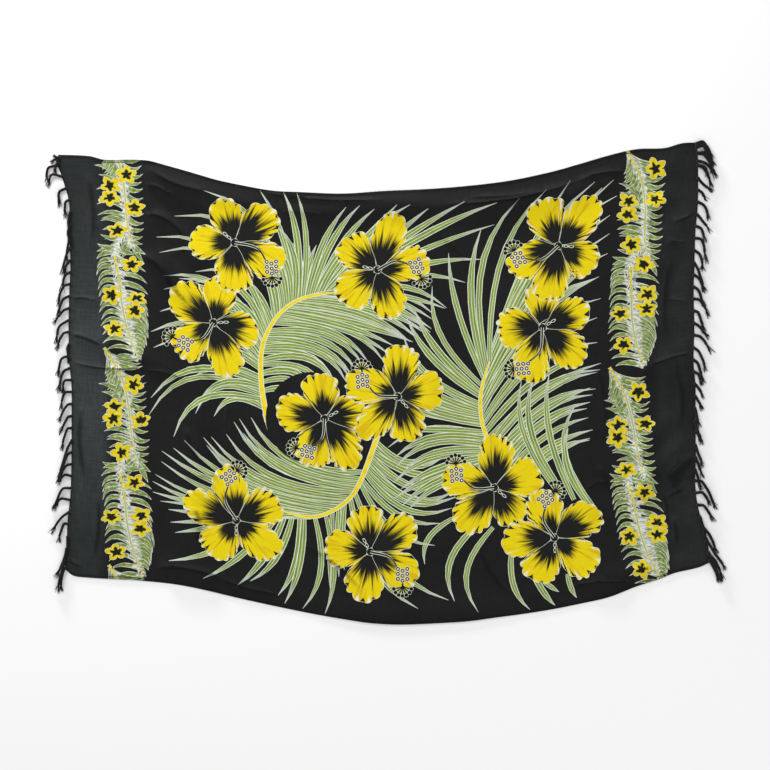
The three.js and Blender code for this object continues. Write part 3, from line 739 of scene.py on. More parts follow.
def filling_points():
    """Mesh points between the outlines: an even spread, closer in the flowers and along the creases."""
    rng = np.random.default_rng(3)
    margin = HEM_WIDTH + 6
    across = np.arange(10, CUT_WIDTH - 6, GROUND_STEP)
    grid = grid_of(across, np.arange(margin, CUT_HEIGHT - margin + 1, GROUND_STEP * 0.9), GROUND_STEP)
    grid = grid[grid[:, 0] < CUT_WIDTH - 8]
    fills = [lay_out(grid + rng.uniform(-1.2, 1.2, grid.shape))]
    steps = np.arange(-FLOWER_RADIUS, FLOWER_RADIUS + 1, FLOWER_STEP)
    local = grid_of(steps, steps * 0.9, FLOWER_STEP)
    local = local[np.hypot(local[:, 0], local[:, 1]) < FLOWER_RADIUS]
    fills += [local + row[0] + rng.uniform(-0.6, 0.6, 2) for row in FLOWERS]
    for middle in SMALL_FLOWERS:
        fills += [middle + circle(20) * SMALL_RADIUS * reach for reach in (0.25, 0.5, 0.72)]
    for from_x, from_y, to_x, to_y, bow, half, _ in CREASES:
        length = math.hypot(to_x - from_x, to_y - from_y)
        share = np.linspace(0.02, 0.98, max(4, round(length / 12)))
        along = np.array([to_x - from_x, to_y - from_y]) / length
        side = np.array([-along[1], along[0]])
        for offset in (-1.6, -0.8, 0, 0.8, 1.6):
            aside = bow * 4 * share * (1 - share) + offset * half
            fills.append([from_x, from_y] + np.outer(share * length, along) + np.outer(aside, side))
    points = np.concatenate(fills)
    flat = find_flat(points)
    inside = ((flat[:, 0] > 5) & (flat[:, 0] < CUT_WIDTH - 5)
              & (flat[:, 1] > HEM_WIDTH + 4) & (flat[:, 1] < CUT_HEIGHT - HEM_WIDTH - 4))
    points = points[inside]
    _, keep = np.unique(np.round(points / 3.5), axis=0, return_index=True)
    depths = [HEM_WIDTH * share for share in (0.22, 0.6)]
    heights = depths + [CUT_HEIGHT - depth for depth in reversed(depths)]
    across = np.arange(4, CUT_WIDTH - 3, EDGE_STEP)
    return np.concatenate([points[keep]] + [lay_out(pairs(across, height)) for height in heights])


def triangulate(motifs):
    """Cuts the cloth along each motif's outline. The uppermost motif owns each triangle."""
    border, seams = outline_of_cloth()
    points, faces, edges = [], [], []
    count = 0
    for outline in [lay_out(border)] + [motif.outline for motif in motifs]:
        points.append(outline)
        faces.append(list(range(count, count + len(outline))))
        count += len(outline)
    for seam in seams:
        points.append(lay_out(seam))
        edges += [(k, k + 1) for k in range(count, count + len(seam) - 1)]
        count += len(seam)
    points.append(filling_points())
    every = [Vector(p) for p in np.concatenate(points)]
    found = delaunay_2d_cdt(every, edges, faces, 0, 1e-3, True)
    seen = np.array([tuple(v) for v in found[0]])
    owners = np.array([max(ids) if 0 in ids else -1 for ids in found[5]])
    keep = owners >= 0
    return seen, np.array(found[2])[keep], owners[keep] - 1


def hem_profile(flat):
    """How much thicker the rolled hems are than the plain cloth."""
    depth = np.minimum(flat[:, 1], CUT_HEIGHT - flat[:, 1]) / HEM_WIDTH
    roll = (HEM_THICK - WALL) * np.sin(math.pi * np.clip(depth, 0, 1)) ** 0.7
    return np.where(depth < 1, roll - 0.3 * (1 - depth) ** 3, 0)


class Print:
    """The cut cloth with what the shaders need at each corner."""

    def __init__(self):
        motifs = all_motifs()
        self.seen, self.triangles, owners = triangulate(motifs)
        self.flat = find_flat(self.seen)
        self.height = lift(self.flat, self.seen)
        # How dark the creases make each point: partly the sheer cloth lying double, mostly painted shade.
        self.doubling_and_shade = np.clip(sum(ridge(self.seen, row) for row in CREASES) / SHADED_CREASE_HEIGHT, 0, 1)
        self.local = np.zeros((len(self.triangles), 3, 2))
        self.rim = np.ones((len(self.triangles), 3, 2))
        self.kinds = np.zeros(len(self.triangles), int)
        order = np.argsort(owners, kind="stable")
        starts = np.searchsorted(owners[order], np.arange(len(motifs) + 1))
        for number, motif in enumerate(motifs):
            mine = order[starts[number]:starts[number + 1]]
            if len(mine) == 0:
                continue
            corners = self.seen[self.triangles[mine]].reshape(-1, 2)
            self.local[mine] = motif.measure(corners).reshape(-1, 3, 2)
            if motif.rim:
                self.rim[mine] = motif.rim(corners).reshape(-1, 3, 2)
            self.kinds[mine] = KINDS.index(motif.kind)

    def slopes(self):
        """The surface's normals, worked out from the folds and creases themselves."""
        step = 1.0
        grads = []
        for way in ([step, 0], [0, step]):
            ahead, behind = self.seen + way, self.seen - way
            grads.append((lift(find_flat(ahead), ahead) - lift(find_flat(behind), behind)) / (2 * step))
        normal = np.column_stack([-grads[0], -grads[1], np.ones(len(self.seen))])
        return normal / np.linalg.norm(normal, axis=1)[:, None]


def add_piece(name, points, faces, materials):
    """An object in the scene, made of some points and faces."""
    mesh = bpy.data.meshes.new(name)
    mesh.from_pydata(points.tolist(), [], faces)
    for material in materials:
        mesh.materials.append(material)
    piece = bpy.data.objects.new(name, mesh)
    bpy.context.collection.objects.link(piece)
    return piece


def sheet_mesh(name, cloth, chosen, normals, thickness, materials):
    """A closed thin shell of the chosen triangles, printed side up."""
    used, triangles = np.unique(cloth.triangles[chosen], return_inverse=True)
    triangles = triangles.reshape(-1, 3)
    seen, low, count = cloth.seen[used], cloth.height[used], len(used)
    a, b, c = (seen[triangles[:, k]] for k in range(3))
    over = (b[:, 0] - a[:, 0]) * (c[:, 1] - a[:, 1]) - (b[:, 1] - a[:, 1]) * (c[:, 0] - a[:, 0]) < 0
    order = np.where(over[:, None], [[0, 2, 1]], [[0, 1, 2]])
    top = np.take_along_axis(triangles, order, axis=1)
    local = np.take_along_axis(cloth.local[chosen], order[:, :, None], axis=1)
    rim = np.take_along_axis(cloth.rim[chosen], order[:, :, None], axis=1)
    kinds = cloth.kinds[chosen]
    halves = np.concatenate([top[:, [0, 1]], top[:, [1, 2]], top[:, [2, 0]]])
    forward = {(i, j) for i, j in halves.tolist()}
    walls = []
    for i, j in sorted((i, j) for i, j in forward if (j, i) not in forward):
        walls += [(j, i, i + count), (j, i + count, j + count)]
    faces = np.concatenate([top, top[:, ::-1] + count, np.array(walls)])
    points = np.concatenate([to_frame(seen, low + thickness[used]), to_frame(seen, low)])
    piece = add_piece(name, points, faces.tolist(), materials)
    corners = faces.reshape(-1)
    flat = np.tile(cloth.flat[used], (2, 1))[corners]
    # the painted crease shade, passed to the shaders in the Fold layer
    doubling_and_shade = np.tile(cloth.doubling_and_shade[used], 2)[corners]
    on_walls = np.ones((len(walls), 3, 2))
    layers = {
        "OFBake": bake_places(flat, (faces[:, 0] >= count).repeat(3)),
        "Woven": flat * MM,
        "Motif": np.concatenate([local, local[:, ::-1], 0 * on_walls]),
        "Rim": np.concatenate([rim, rim[:, ::-1], on_walls]),
        "Fold": pairs(doubling_and_shade, doubling_and_shade),
    }
    mesh = piece.data
    for layer, values in layers.items():
        mesh.uv_layers.new(name=layer).data.foreach_set("uv", values.reshape(-1))
    slots = np.concatenate([kinds, kinds + len(KINDS), np.zeros(len(walls), int)])
    mesh.polygons.foreach_set("material_index", slots)
    mesh.polygons.foreach_set("use_smooth", np.ones(len(faces), bool))
    mesh.update()
    both_sides = np.concatenate([normals[used], -normals[used]])
    mesh.normals_split_custom_set(both_sides[corners].tolist())
    return piece


def bake_places(flat, back):
    """Flat places for baked colour: the printed side in the lower half of the square, its back above."""
    places = flat / CUT_WIDTH * 0.98 + 0.01
    places *= min(0.48 / (CUT_HEIGHT / CUT_WIDTH * 0.98 + 0.02), 1)
    places[back, 1] += 0.5
    return places


# ---------------------------------------------------------------- materials
def linear(red, green, blue):
    """A colour for Blender from values of 0 to 255 as a screen shows them."""
    shares = [value / 255 for value in (red, green, blue)]
    return tuple(((s + 0.055) / 1.055) ** 2.4 if s > 0.04 else s / 12.92 for s in shares) + (1,)


BLACK = linear(18, 20, 18)
DEEP_BLACK = linear(9, 10, 9)
FIELD_DEEP = linear(12, 13, 12)
# painted light for the field's upper edge
FIELD_PAINTED_LIGHT = linear(36, 38, 37)
BORDER = linear(52, 56, 57)
BORDER_DEEP = linear(26, 29, 29)
RIGHT_BORDER = linear(32, 35, 34)
RIGHT_BORDER_DEEP = linear(22, 24, 23)
YELLOW = linear(225, 203, 4)
SMALL_YELLOW = linear(217, 199, 8)
WARM_YELLOW = linear(205, 168, 4)
STEM_YELLOW = linear(232, 210, 30)
GREEN = linear(146, 168, 74)
DARK_GREEN = linear(98, 124, 44)
BAND_GREEN = linear(144, 162, 82)
DARK_BAND_GREEN = linear(96, 117, 50)
OLIVE = linear(168, 174, 112)
BROWN = linear(70, 66, 20)
PALE = linear(214, 220, 200)
PALE_YELLOW = linear(206, 210, 150)
GREY_TIP = linear(194, 201, 192)
BAND_WHITE = linear(216, 218, 208)
BAND_GREY = linear(150, 160, 134)
PLUME_WHITE = linear(212, 216, 202)
WHITE = linear(225, 226, 216)
THREAD_LIGHT = linear(38, 38, 38)
YARN_BLACK = linear(10, 11, 11)
YARN_LIGHT = linear(30, 31, 31)
BACK_DULLING = 0.62     # how much of the back's colour is black
YARN_PITCH = 0.0011     # metres from one yarn of the weave to the next
BORDER_FADE = (0.085, 0.125)    # metres from a fringe, where its border gives way to the field


class Value:
    """A number that a material's nodes work out, for use in plain arithmetic."""

    def __init__(self, shader, socket):
        self.shader = shader
        self.socket = socket

    def __add__(self, other):
        return self.shader.math("ADD", self, other)

    def __sub__(self, other):
        return self.shader.math("SUBTRACT", self, other)

    def __rsub__(self, other):
        return self.shader.math("SUBTRACT", other, self)

    def __mul__(self, other):
        return self.shader.math("MULTIPLY", self, other)

    def __truediv__(self, other):
        return self.shader.math("DIVIDE", self, other)

    def __abs__(self):
        return self.shader.math("ABSOLUTE", self)


class Shader:
    """A material's nodes, added one by one."""

    def __init__(self, name):
        self.material = bpy.data.materials.new(name)
        self.material.use_nodes = True
        self.tree = self.material.node_tree
        self.surface = self.tree.nodes["Principled BSDF"]

    def add(self, kind, inputs=(), **settings):
        node = self.tree.nodes.new(kind)
        for key, value in settings.items():
            setattr(node, key, value)
        for key, value in dict(inputs).items():
            self.put(node.inputs[key], value)
        return node

    def put(self, socket, value):
        """Links a value to a socket, or sets a constant on it."""
        if isinstance(value, Value):
            value = value.socket
        if isinstance(value, bpy.types.NodeSocket):
            self.tree.links.new(value, socket)
        else:
            socket.default_value = value

    def math(self, operation, *values):
        node = self.add("ShaderNodeMath", dict(enumerate(values)), operation=operation)
        return Value(self, node.outputs[0])

    def step(self, value, low, high, first=0.0, last=1.0):
        """A smooth step of a value from low to high."""
        node = self.add("ShaderNodeMapRange", {0: value, 1: low, 2: high, 3: first, 4: last},
                        interpolation_type="SMOOTHSTEP", clamp=True)
        return Value(self, node.outputs[0])

    def mix(self, share, a, b):
        """The first colour at a share of 0 and the second at 1."""
        return self.add("ShaderNodeMix", {0: share, 6: a, 7: b}, data_type="RGBA").outputs[2]

    def noise(self, vector, scale, detail=2.0):
        node = self.add("ShaderNodeTexNoise", {"Vector": vector, "Scale": scale, "Detail": detail})
        return Value(self, node.outputs[0])

    def uv(self, name):
        """The two measures that the mesh holds under a name."""
        node = self.add("ShaderNodeSeparateXYZ", {0: self.add("ShaderNodeUVMap", uv_map=name).outputs[0]})
        return Value(self, node.outputs[0]), Value(self, node.outputs[1])

    def join(self, x, y, z=0.0):
        """A place for a noise, from its measures."""
        return self.add("ShaderNodeCombineXYZ", {0: x, 1: y, 2: z}).outputs[0]

    def shaded(self, colour, shade):
        """The colour, made lighter or darker by a factor."""
        return self.add("ShaderNodeHueSaturation", {"Value": shade, "Color": colour}).outputs[0]

    def bump(self, height, strength, distance):
        node = self.add("ShaderNodeBump", {"Height": height, "Strength": strength, "Distance": distance})
        self.put(self.surface.inputs["Normal"], node.outputs[0])

    def finish(self, colour, constants):
        """Sets the surface's colour, and each constant on the surface's own socket."""
        self.put(self.surface.inputs["Base Color"], colour)
        for name, value in constants.items():
            self.surface.inputs[name].default_value = value
        return self.material


def weave(shader):
    """The plain weave with uneven yarns, as a bump."""
    across, up = shader.uv("Woven")
    warp = shader.math("SINE", across * (2 * math.pi / YARN_PITCH))
    weft = shader.math("SINE", up * (2 * math.pi / YARN_PITCH))
    slub_up = shader.noise(shader.join(across * 900, up * 30), 1.0)
    slub_across = shader.noise(shader.join(across * 26, up * 800), 1.0)
    yarn = slub_up + slub_across
    shader.bump(warp * weft * 0.35 + yarn, 0.25, 0.0004)
    return yarn


def edge_shade(shader):
    """The sheer cloth is darker where it lies double: at the hems and selvedges, and a little in the
    creases. The dark line along each seam and most of the darkening in the creases are painted shade.
    """
    across, up = shader.uv("Woven")
    depth = shader.math("MINIMUM", up, CUT_HEIGHT * MM - up)
    hem = shader.step(depth, (HEM_WIDTH - 1) * MM, (HEM_WIDTH + 0.5) * MM, 0.62, 1.0)
    # painted shade: a dark line along each hem's seam
    seam = shader.step(abs(depth - (HEM_WIDTH + 0.4) * MM), 0.6 * MM, 1.6 * MM, 0.35, 1.0)
    from_side = shader.math("MINIMUM", across, CUT_WIDTH * MM - across)
    selvedge = shader.step(from_side, 2.5 * MM, 4.5 * MM, 0.55, 1.0)
    # painted shade in the creases, much darker than the double cloth alone
    fold = shader.step(shader.uv("Fold")[0], 0.12, 0.85, 1.0, 0.3)
    return hem * seam * fold * selvedge


def slubs(shader, across, up):
    """Long thick yarns that show as faint lines along and across the plain cloth."""
    along = shader.noise(shader.join(across * 210, up * 26), 1.0)
    over = shader.noise(shader.join(across * 20, up * 180), 1.0)
    return shader.step(along + over, 0.75, 1.25, 0.84, 1.16)


def ground_colour(shader):
    """The black ground. It is lighter in the two borders, where nothing is printed, and has painted light
    along its upper edge.
    """
    across, up = shader.uv("Woven")
    width, height = CUT_WIDTH * MM, CUT_HEIGHT * MM
    near, far = BORDER_FADE
    left = shader.step(across, near, far, 1.0, 0.0)
    right = shader.step(across, width - far, width - near)
    cloudy = shader.noise(shader.join(across, up), 9.0, 4.0)
    field = shader.mix(shader.step(cloudy, 0.35, 0.7, 0.0, 0.6), BLACK, FIELD_DEEP)
    fade = cloudy * 0.5 + shader.step(abs(up - 0.46 * height), 0.1, 0.6, -0.1, 0.6)
    left_tone = shader.mix(fade, BORDER, BORDER_DEEP)
    right_tone = shader.mix(shader.step(cloudy, 0.3, 0.7), RIGHT_BORDER, RIGHT_BORDER_DEEP)
    # painted light: the field is lighter along its upper edge
    painted_top_light = shader.step(up, height - 0.055, height - 0.035, 0.0, 0.2)
    field = shader.mix(painted_top_light, field, FIELD_PAINTED_LIGHT)
    ground = shader.mix(right, shader.mix(left, field, left_tone), right_tone)
    return shader.shaded(ground, slubs(shader, across, up))


def leaf_colour(shader):
    """Two green stripes, a pale line between them, a pale outline and a grey tip."""
    share, across = shader.uv("Motif")
    wide = abs(across)
    place = shader.uv("Woven")[0] * 20
    streak = shader.noise(shader.join(share * 2.5, across * 4, place), 1.5, 3.0)
    green = shader.mix(shader.step(streak, 0.36, 0.62), GREEN, DARK_GREEN)
    middle = shader.step(wide, 0.05, 0.13, 1.0, 0.0)
    outer = shader.step(wide, 0.70, 0.82)
    body = shader.mix(shader.math("MAXIMUM", middle, outer), green, PALE)
    return shader.mix(shader.step(share, 0.74, 0.96, 0.0, 0.85), body, GREY_TIP)


def band_leaf_colour(shader):
    """Green in the middle of the blade, pale towards the stem, the outline and the tip."""
    share, across = shader.uv("Motif")
    wide = abs(across)
    place = shader.uv("Woven")[1] * 30
    streak = shader.noise(shader.join(share * 4, across, place), 1.5)
    green = shader.mix(shader.step(streak, 0.36, 0.62), BAND_GREEN, DARK_BAND_GREEN)
    outline = shader.step(wide, 0.56, 0.72)
    root = shader.step(streak * 0.5 + share, 0.36, 0.6, 1.0, 0.0)
    end = shader.step(share, 0.84, 0.95)
    pale = shader.math("MAXIMUM", outline, shader.math("MAXIMUM", root, end))
    gap = shader.step(wide, 0.86, 0.98) * shader.step(share, 0.05, 0.3)
    tone = shader.mix(shader.step(streak, 0.35, 0.65), BAND_WHITE, BAND_GREY)
    return shader.mix(gap, shader.mix(pale, green, tone), BLACK)


def plume_colour(shader):
    """White strokes beside a stem, with the ground between them."""
    share, across = shader.uv("Motif")
    wide = abs(across)
    strokes = shader.noise(shader.join(share * 60 - wide * 3, across), 1.0) - wide * 0.12
    return shader.mix(shader.step(strokes, 0.36, 0.46), BLACK, PLUME_WHITE)


def stem_colour(shader):
    """A yellow stem with warmer patches and a pale outline."""
    wide = abs(shader.uv("Motif")[1])
    patches = shader.noise(shader.join(*shader.uv("Woven")), 60.0)
    tone = shader.mix(shader.step(patches, 0.45, 0.8, 0.0, 0.6), STEM_YELLOW, WARM_YELLOW)
    return shader.mix(shader.step(wide, 0.62, 0.8), tone, PALE)


def band_stem_colour(shader):
    """A thin yellow stem, bright at both ends and broken by pale strokes between them."""
    share, across = shader.uv("Motif")
    broken = shader.noise(shader.join(share * 40, across), 1.0, 1.0) - abs(share - 0.5) * 0.5
    tone = shader.mix(shader.step(broken, 0.2, 0.42), STEM_YELLOW, OLIVE)
    edge = shader.mix(shader.step(broken, 0.2, 0.4), BROWN, PALE)
    return shader.mix(shader.step(abs(across), 0.5, 0.75), tone, edge)


def round_reach(shader):
    """How far a place is from the middle of its motif."""
    x, y = shader.uv("Motif")
    return shader.math("SQRT", x * x + y * y)


def streak_at(shader, aside, rim, length, width):
    """A pointed streak inwards from the edge of a petal."""
    room = 1.0 - rim / length
    return shader.step(room * width - abs(aside), -0.02, 0.04)


def petal_colour(shader):
    """Yellow with a feathered black throat, a pale outline, and notches and flecks at the ruffles."""
    along, across = shader.uv("Motif")
    rim, way = shader.uv("Rim")
    rim, way = rim * RIM_UNIT, way * WAY_UNIT
    place = shader.uv("Woven")[0] * 5
    turn = shader.math("ARCTAN2", across, along)
    reach = round_reach(shader)
    coarse, medium, fine = (
        shader.noise(shader.join(turn * fineness, reach * stretch, place), 1.0, 1.0) - 0.5
        for fineness, stretch in ((5.0, 0.5), (15.0, 0.9), (36.0, 1.4)))
    feathered = turn * turn * -0.75 + 1.1 + coarse * 0.7 + medium * 0.8 + fine * 0.5
    throat = shader.step(feathered - reach, -0.17, 0.26)
    colour = shader.mix(shader.step(medium + coarse, -0.02, 0.22, 0.0, 0.7), YELLOW, WARM_YELLOW)
    outer = shader.step(reach, 0.75, 1.0)
    nearest = shader.math("ROUND", way)
    chance = shader.noise(shader.join(nearest, 0.0), 0.37, 0.0)
    notch = streak_at(shader, way - nearest, rim, shader.step(chance, 0.42, 0.62, 2.0, 17.0), 0.27)
    colour = shader.mix(notch * outer, colour, BLACK)
    lobe = shader.math("FLOOR", way)
    luck = shader.noise(shader.join(lobe, 0.0), 0.61, 0.0)
    from_fleck = way - lobe - (luck * 0.6 + 0.2)
    fleck = streak_at(shader, from_fleck, rim, shader.step(luck, 0.42, 0.6, 2.0, 18.0), 0.17)
    colour = shader.mix(fleck * outer * 0.8, colour, WHITE)
    colour = shader.mix(throat, colour, BLACK)
    return shader.mix(shader.step(rim, 0.7, 1.4, 0.8, 0.0), colour, PALE)


def column_colour(shader):
    """Two pale lines with black between them, which fade where the yellow begins."""
    share, across = shader.uv("Motif")
    lines = shader.step(abs(across), 0.5, 0.72) * shader.step(share, 0.5, 0.66, 1.0, 0.25)
    return shader.mix(lines, BLACK, PALE)


def filament_colour(shader):
    """A dark line that gets pale sides towards its knob."""
    share, across = shader.uv("Motif")
    sides = shader.step(abs(across), 0.42, 0.6, 0.0, 0.85) * shader.step(share, 0.2, 0.5)
    return shader.mix(sides, DEEP_BLACK, PALE_YELLOW)


def outlined(inner, low, high, most):
    """The colour of a small dark round shape with a pale outline."""
    def colour(shader):
        return shader.mix(shader.step(round_reach(shader), low, high, 0.0, most), inner, PALE)
    return colour


def ring_colour(shader):
    """A white spot in a black ring with a white outline."""
    reach = round_reach(shader)
    ring = shader.mix(shader.step(reach, 0.3, 0.42), WHITE, DEEP_BLACK)
    return shader.mix(shader.step(reach, 0.74, 0.86, 0.0, 0.9), ring, WHITE)


def small_flower_colour(shader):
    """Five round yellow petals, a pale outline and a black star."""
    x, y = shader.uv("Motif")
    rim, number = shader.uv("Rim")
    reach = round_reach(shader)
    lobe = shader.math("COSINE", shader.math("ARCTAN2", y, x) * 2.5)
    rough = shader.noise(shader.join(x, y, number * 400), 3.2, 1.0)
    star = lobe * lobe * 0.19 + 0.34 + (rough - 0.5) * 0.62
    inside = shader.step(star - reach, -0.07, 0.1)
    tone = shader.step(rough * 0.8 + reach, 0.9, 1.4, 0.0, 0.7)
    colour = shader.mix(inside, shader.mix(tone, SMALL_YELLOW, WARM_YELLOW), BLACK)
    return shader.mix(shader.step(rim, 0.03, 0.08, 0.65, 0.0), colour, PALE)


COLOURS = {
    "ground": ground_colour, "leaf": leaf_colour, "band_leaf": band_leaf_colour, "plume": plume_colour,
    "stem": stem_colour, "band_stem": band_stem_colour, "petal": petal_colour,
    "centre": outlined(BLACK, 0.74, 0.82, 0.9), "loop": outlined(BLACK, 0.58, 0.72, 1.0),
    "column": column_colour, "filament": filament_colour,
    "knob": outlined(DEEP_BLACK, 0.76, 0.88, 0.9), "ring": ring_colour,
    "small_flower": small_flower_colour,
}
KINDS = tuple(COLOURS)


def rayon(kind, back):
    """The cloth where one kind of motif is: matte with a soft sheen. Its back shows the print, duller."""
    shader = Shader(f"rayon_{kind}{'_back' if back else ''}")
    yarn = weave(shader)
    shade = shader.step(yarn, 0.6, 1.4, 0.93, 1.05) * edge_shade(shader)
    toned = shader.shaded(COLOURS[kind](shader), shade)
    if back:
        toned = shader.mix(BACK_DULLING, toned, BLACK)
    return shader.finish(toned, {"Roughness": 0.76, "Specular IOR Level": 0.15,
                                 "Sheen Weight": 0.06, "Sheen Roughness": 0.5})


def yarn_material(name, colour, twist):
    """Matte twisted yarn with fine fibres along it."""
    shader = Shader(name)
    fibres = shader.noise(shader.add("ShaderNodeTexCoord").outputs["Object"], 900.0, 3.0)
    shader.bump(fibres, 0.5, 0.0003)
    tone = shader.mix(shader.step(fibres, 0.3, 0.7), colour, twist)
    return shader.finish(tone, {"Roughness": 0.9, "Specular IOR Level": 0.15, "Sheen Weight": 0.1})


def floor_material():
    """Matte white, a little short of pure."""
    return Shader("floor_white").finish(
        (0.93, 0.93, 0.93, 1), {"Roughness": 0.9, "Specular IOR Level": 0.1})


# ---------------------------------------------------------------- cloth, hems and stitches
def build_cloth():
    """The printed cloth and its two rolled hems."""
    cloth = Print()
    normals = cloth.slopes()
    thickness = WALL + hem_profile(cloth.flat)
    middles = cloth.flat[cloth.triangles].mean(axis=1)[:, 1]
    low, high = HEM_SEAMS
    materials = [rayon(kind, back) for back in (False, True) for kind in KINDS]
    chosen = {
        "sarong_cloth": (middles > low) & (middles < high),
        "sarong_upper_hem": middles >= high,
        "sarong_lower_hem": middles <= low,
    }
    return {name: sheet_mesh(name, cloth, mine, normals, thickness, materials)
            for name, mine in chosen.items()}


def stitches(name, height, material):
    """A row of small stitches along a hem's seam."""
    starts = np.arange(6, CUT_WIDTH - 8, STITCH_PITCH)
    corners = np.array([
        (across * wide, up * tall, high) for wide, tall, high in ((1.3, 0.28, 0), (0.9, 0.14, 0.32))
        for across, up in ((-1, -1), (1, -1), (1, 1), (-1, 1))])
    sides = ((4, 5, 6, 7), (0, 1, 5, 4), (1, 2, 6, 5), (2, 3, 7, 6), (3, 0, 4, 7), (3, 2, 1, 0))
    flat = np.concatenate([corners[:, :2] + [start, height] for start in starts])
    seen = lay_out(flat)
    base = lift(flat, seen) + WALL + hem_profile(flat) - 0.1
    points = to_frame(seen, base + np.tile(corners[:, 2], len(starts)))
    faces = [tuple(8 * k + i for i in side) for k in range(len(starts)) for side in sides]
    return add_piece(name, points, faces, [material])


# ---------------------------------------------------------------- fringes
def strand_path(side, up, fall, steps=24):
    """The middle line of one strand: out from its root, over a bend and down."""
    across = ROOT_INSET if side < 0 else CUT_WIDTH - ROOT_INSET
    flat = np.array([[across, up]], float)
    seen = lay_out(flat)
    root = seen[0]
    bend_out, bend_down, end_out, end_down = fall
    line = smooth([root, root + [side * bend_out, -bend_down], root + [side * end_out, -end_down]], steps)
    t = np.linspace(0, 1, steps)
    waver = 0.9 * np.sin(t * 11 + up) * t
    over = 2.4 * math.sin(up * 0.9) ** 2 * np.sin(t * math.pi)
    z = 2 * PLY_RADIUS + 0.2 + float(lift(flat, seen)[0]) * (1 - t) + over
    return np.column_stack([line[:, 0] + waver, line[:, 1] + 0.5 * waver, z])


def unit_rows(rows):
    """The same directions, each with a length of one."""
    return rows / np.linalg.norm(rows, axis=1)[:, None]


def tube_along(path, radii, sides):
    """Points and faces of a closed tube."""
    ahead = unit_rows(np.gradient(path, axis=0))
    aside = unit_rows(np.cross(ahead, [0, 0, 1]))
    above = np.cross(aside, ahead)
    x, y = circle(sides).T[:, None, :, None]
    rings = path[:, None, :] + radii[:, None, None] * (x * aside[:, None, :] + y * above[:, None, :])
    faces = []
    for k in range(len(path) - 1):
        for s in range(sides):
            a, b = k * sides + s, k * sides + (s + 1) % sides
            faces.append((a, b, b + sides, a + sides))
    faces.append(tuple(range(sides))[::-1])
    faces.append(tuple(range((len(path) - 1) * sides, len(path) * sides)))
    return rings.reshape(-1, 3), faces


def strand_parts(path, seed, thick):
    """Two plies twisted round each other and a brush of loose fibres at the end."""
    rng = random.Random(seed)
    ahead = unit_rows(np.gradient(path, axis=0))
    aside = np.cross(ahead, [0, 0, 1])
    above = np.cross(aside, ahead)
    walked = np.concatenate([[0], np.cumsum(np.linalg.norm(np.diff(path, axis=0), axis=1))])
    length = walked[-1]
    frayed = min(rng.uniform(18, 30), 0.45 * length)
    distance = np.linspace(0, length, max(12, int(length / 1.6)))
    line, side_way, over_way = (np.column_stack([np.interp(distance, walked, rows[:, k]) for k in range(3)])
                                for rows in (path, aside, above))
    body = distance < length - frayed + 4
    parts = []
    for ply in (0, math.pi):
        turn = (distance * 0.75 + ply + seed)[:, None]
        centre = line + 1.6 * thick * (np.cos(turn) * side_way + np.sin(turn) * over_way)
        radii = PLY_RADIUS * thick * np.interp(distance, (0, 6, 14, length), (1.25, 1.1, 1, 0.9))
        parts.append(tube_along(centre[body], radii[body], 6))
    tail = line[distance > length - frayed]
    way = tail[-1] - tail[0]
    across = np.array([-way[1], way[0], 0]) / np.linalg.norm(way)
    share = np.linspace(0, 1, len(tail))[:, None]
    for _ in range(FIBRES):
        spread = rng.uniform(-1, 1)
        start = across * rng.uniform(-1.8, 1.8)
        bend = across * (spread * 6.5 * share**1.1 + rng.uniform(-1, 1) * np.sin(share * 5))
        fibre = tail[0] + start + way * share * rng.uniform(0.7, 1.25) + bend
        fibre[:, 2] = np.maximum(0.5, tail[:, 2] * (1 - 0.6 * share[:, 0]) + rng.uniform(-0.6, 0.6))
        parts.append(tube_along(fibre, 1 - 0.5 * share[:, 0], 4))
    return parts


def fringe(name, side, falls, thick, material):
    """One fringe: its strands from the top down, then the frayed ends at its corners."""
    height = CUT_HEIGHT - 2 * HEM_WIDTH - 12
    count = len(falls)
    rows = [(HEM_WIDTH + 6 + height * (count - k - 0.5) / count, fall) for k, fall in enumerate(falls)]
    rows += [(up, fall) for at, up, *fall in CORNER_STRANDS if at == side]
    points, faces, used = [], [], 0
    for number, (up, fall) in enumerate(rows):
        for part_points, part_faces in strand_parts(strand_path(side, up, fall), 3 * number + side, thick):
            points.append(part_points)
            faces += [tuple(i + used for i in face) for face in part_faces]
            used += len(part_points)
    every = np.concatenate(points)
    piece = add_piece(name, to_frame(every[:, :2], every[:, 2]), faces, [material])
    piece.data.polygons.foreach_set("use_smooth", np.ones(len(faces), bool))
    return piece


# ---------------------------------------------------------------- floor, light and camera
def build_floor():
    """A large floor just under the cloth. It is stage, not part of the garment."""
    half = 30
    corners = np.array([(-half, -half, 0), (half, -half, 0), (half, half, 0), (-half, half, 0)])
    floor = add_piece("floor", corners, [(0, 1, 2, 3)], [floor_material()])
    floor.location.z = -0.0002


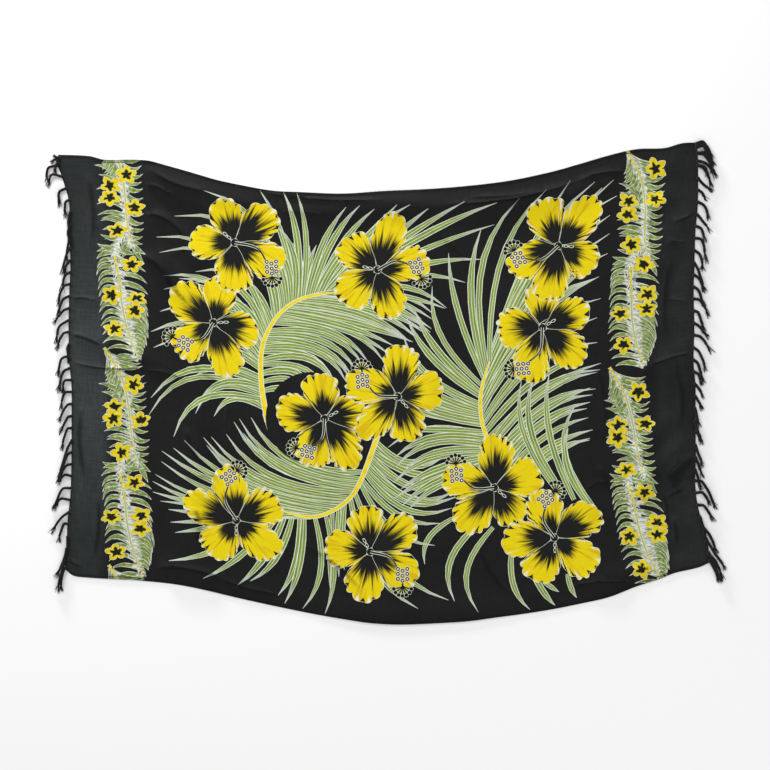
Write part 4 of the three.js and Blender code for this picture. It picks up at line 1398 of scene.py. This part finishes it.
def soft_box(name, place, size, power):
    """A lamp that points at the middle of the sarong."""
    light = bpy.data.lights.new(name, "AREA")
    light.shape = "RECTANGLE"
    light.size, light.size_y = size
    light.energy = power
    lamp = bpy.data.objects.new(name, light)
    lamp.location = place
    lamp.rotation_euler = (Vector((0, 0, 0)) - Vector(place)).to_track_quat("-Z", "Y").to_euler()
    lamp.visible_camera = False
    bpy.context.collection.objects.link(lamp)


def build_light():
    """A white room and three soft lamps round the cloth."""
    world = bpy.data.worlds.new("studio")
    world.use_nodes = True
    background = world.node_tree.nodes["Background"]
    background.inputs[0].default_value = (1, 1, 1, 1)
    background.inputs[1].default_value = 0.72
    bpy.context.scene.world = world
    soft_box("key", (-2.0, 2.6, 1.8), (1.6, 0.8), 58)
    soft_box("low", (-2.2, 5.8, 0.7), (1.6, 0.4), 400)
    soft_box("fill", (2.2, -2.6, 2.2), (1.6, 1.6), 16)
    bpy.context.scene.view_settings.view_transform = "Standard"
    bpy.context.scene.view_settings.look = "None"


def build_camera():
    """The camera, straight above the cloth."""
    data = bpy.data.cameras.new("camera")
    data.lens = LENS
    data.sensor_width = SENSOR_WIDTH
    camera = bpy.data.objects.new("camera", data)
    bpy.context.collection.objects.link(camera)
    aim = (np.array(VIEW_MIDDLE) + MIDDLE_SHIFT) * MM
    camera.location = (aim[0], aim[1], VIEW_WIDTH * MM * LENS / SENSOR_WIDTH)
    camera.rotation_euler = (0, 0, 0)
    bpy.context.scene.camera = camera


# ---------------------------------------------------------------- the whole
build_camera()
build_floor()
build_light()

pieces = build_cloth()
thread = yarn_material("stitching_thread", DEEP_BLACK, THREAD_LIGHT)
yarn = yarn_material("fringe_yarn", YARN_BLACK, YARN_LIGHT)
pieces["upper_stitches"] = stitches("upper_stitches", CUT_HEIGHT - HEM_WIDTH - 0.9, thread)
pieces["lower_stitches"] = stitches("lower_stitches", HEM_WIDTH + 0.9, thread)
pieces["twisted_fringe_left"] = fringe("twisted_fringe_left", -1, LEFT_STRANDS, 1, yarn)
pieces["twisted_fringe_right"] = fringe("twisted_fringe_right", 1, RIGHT_STRANDS, 1.13, yarn)

for piece in pieces.values():
    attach(piece, "root")
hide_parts("cloth")
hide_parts("upper_hem")
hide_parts("lower_hem")
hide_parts("left_fringe")
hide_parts("right_fringe")
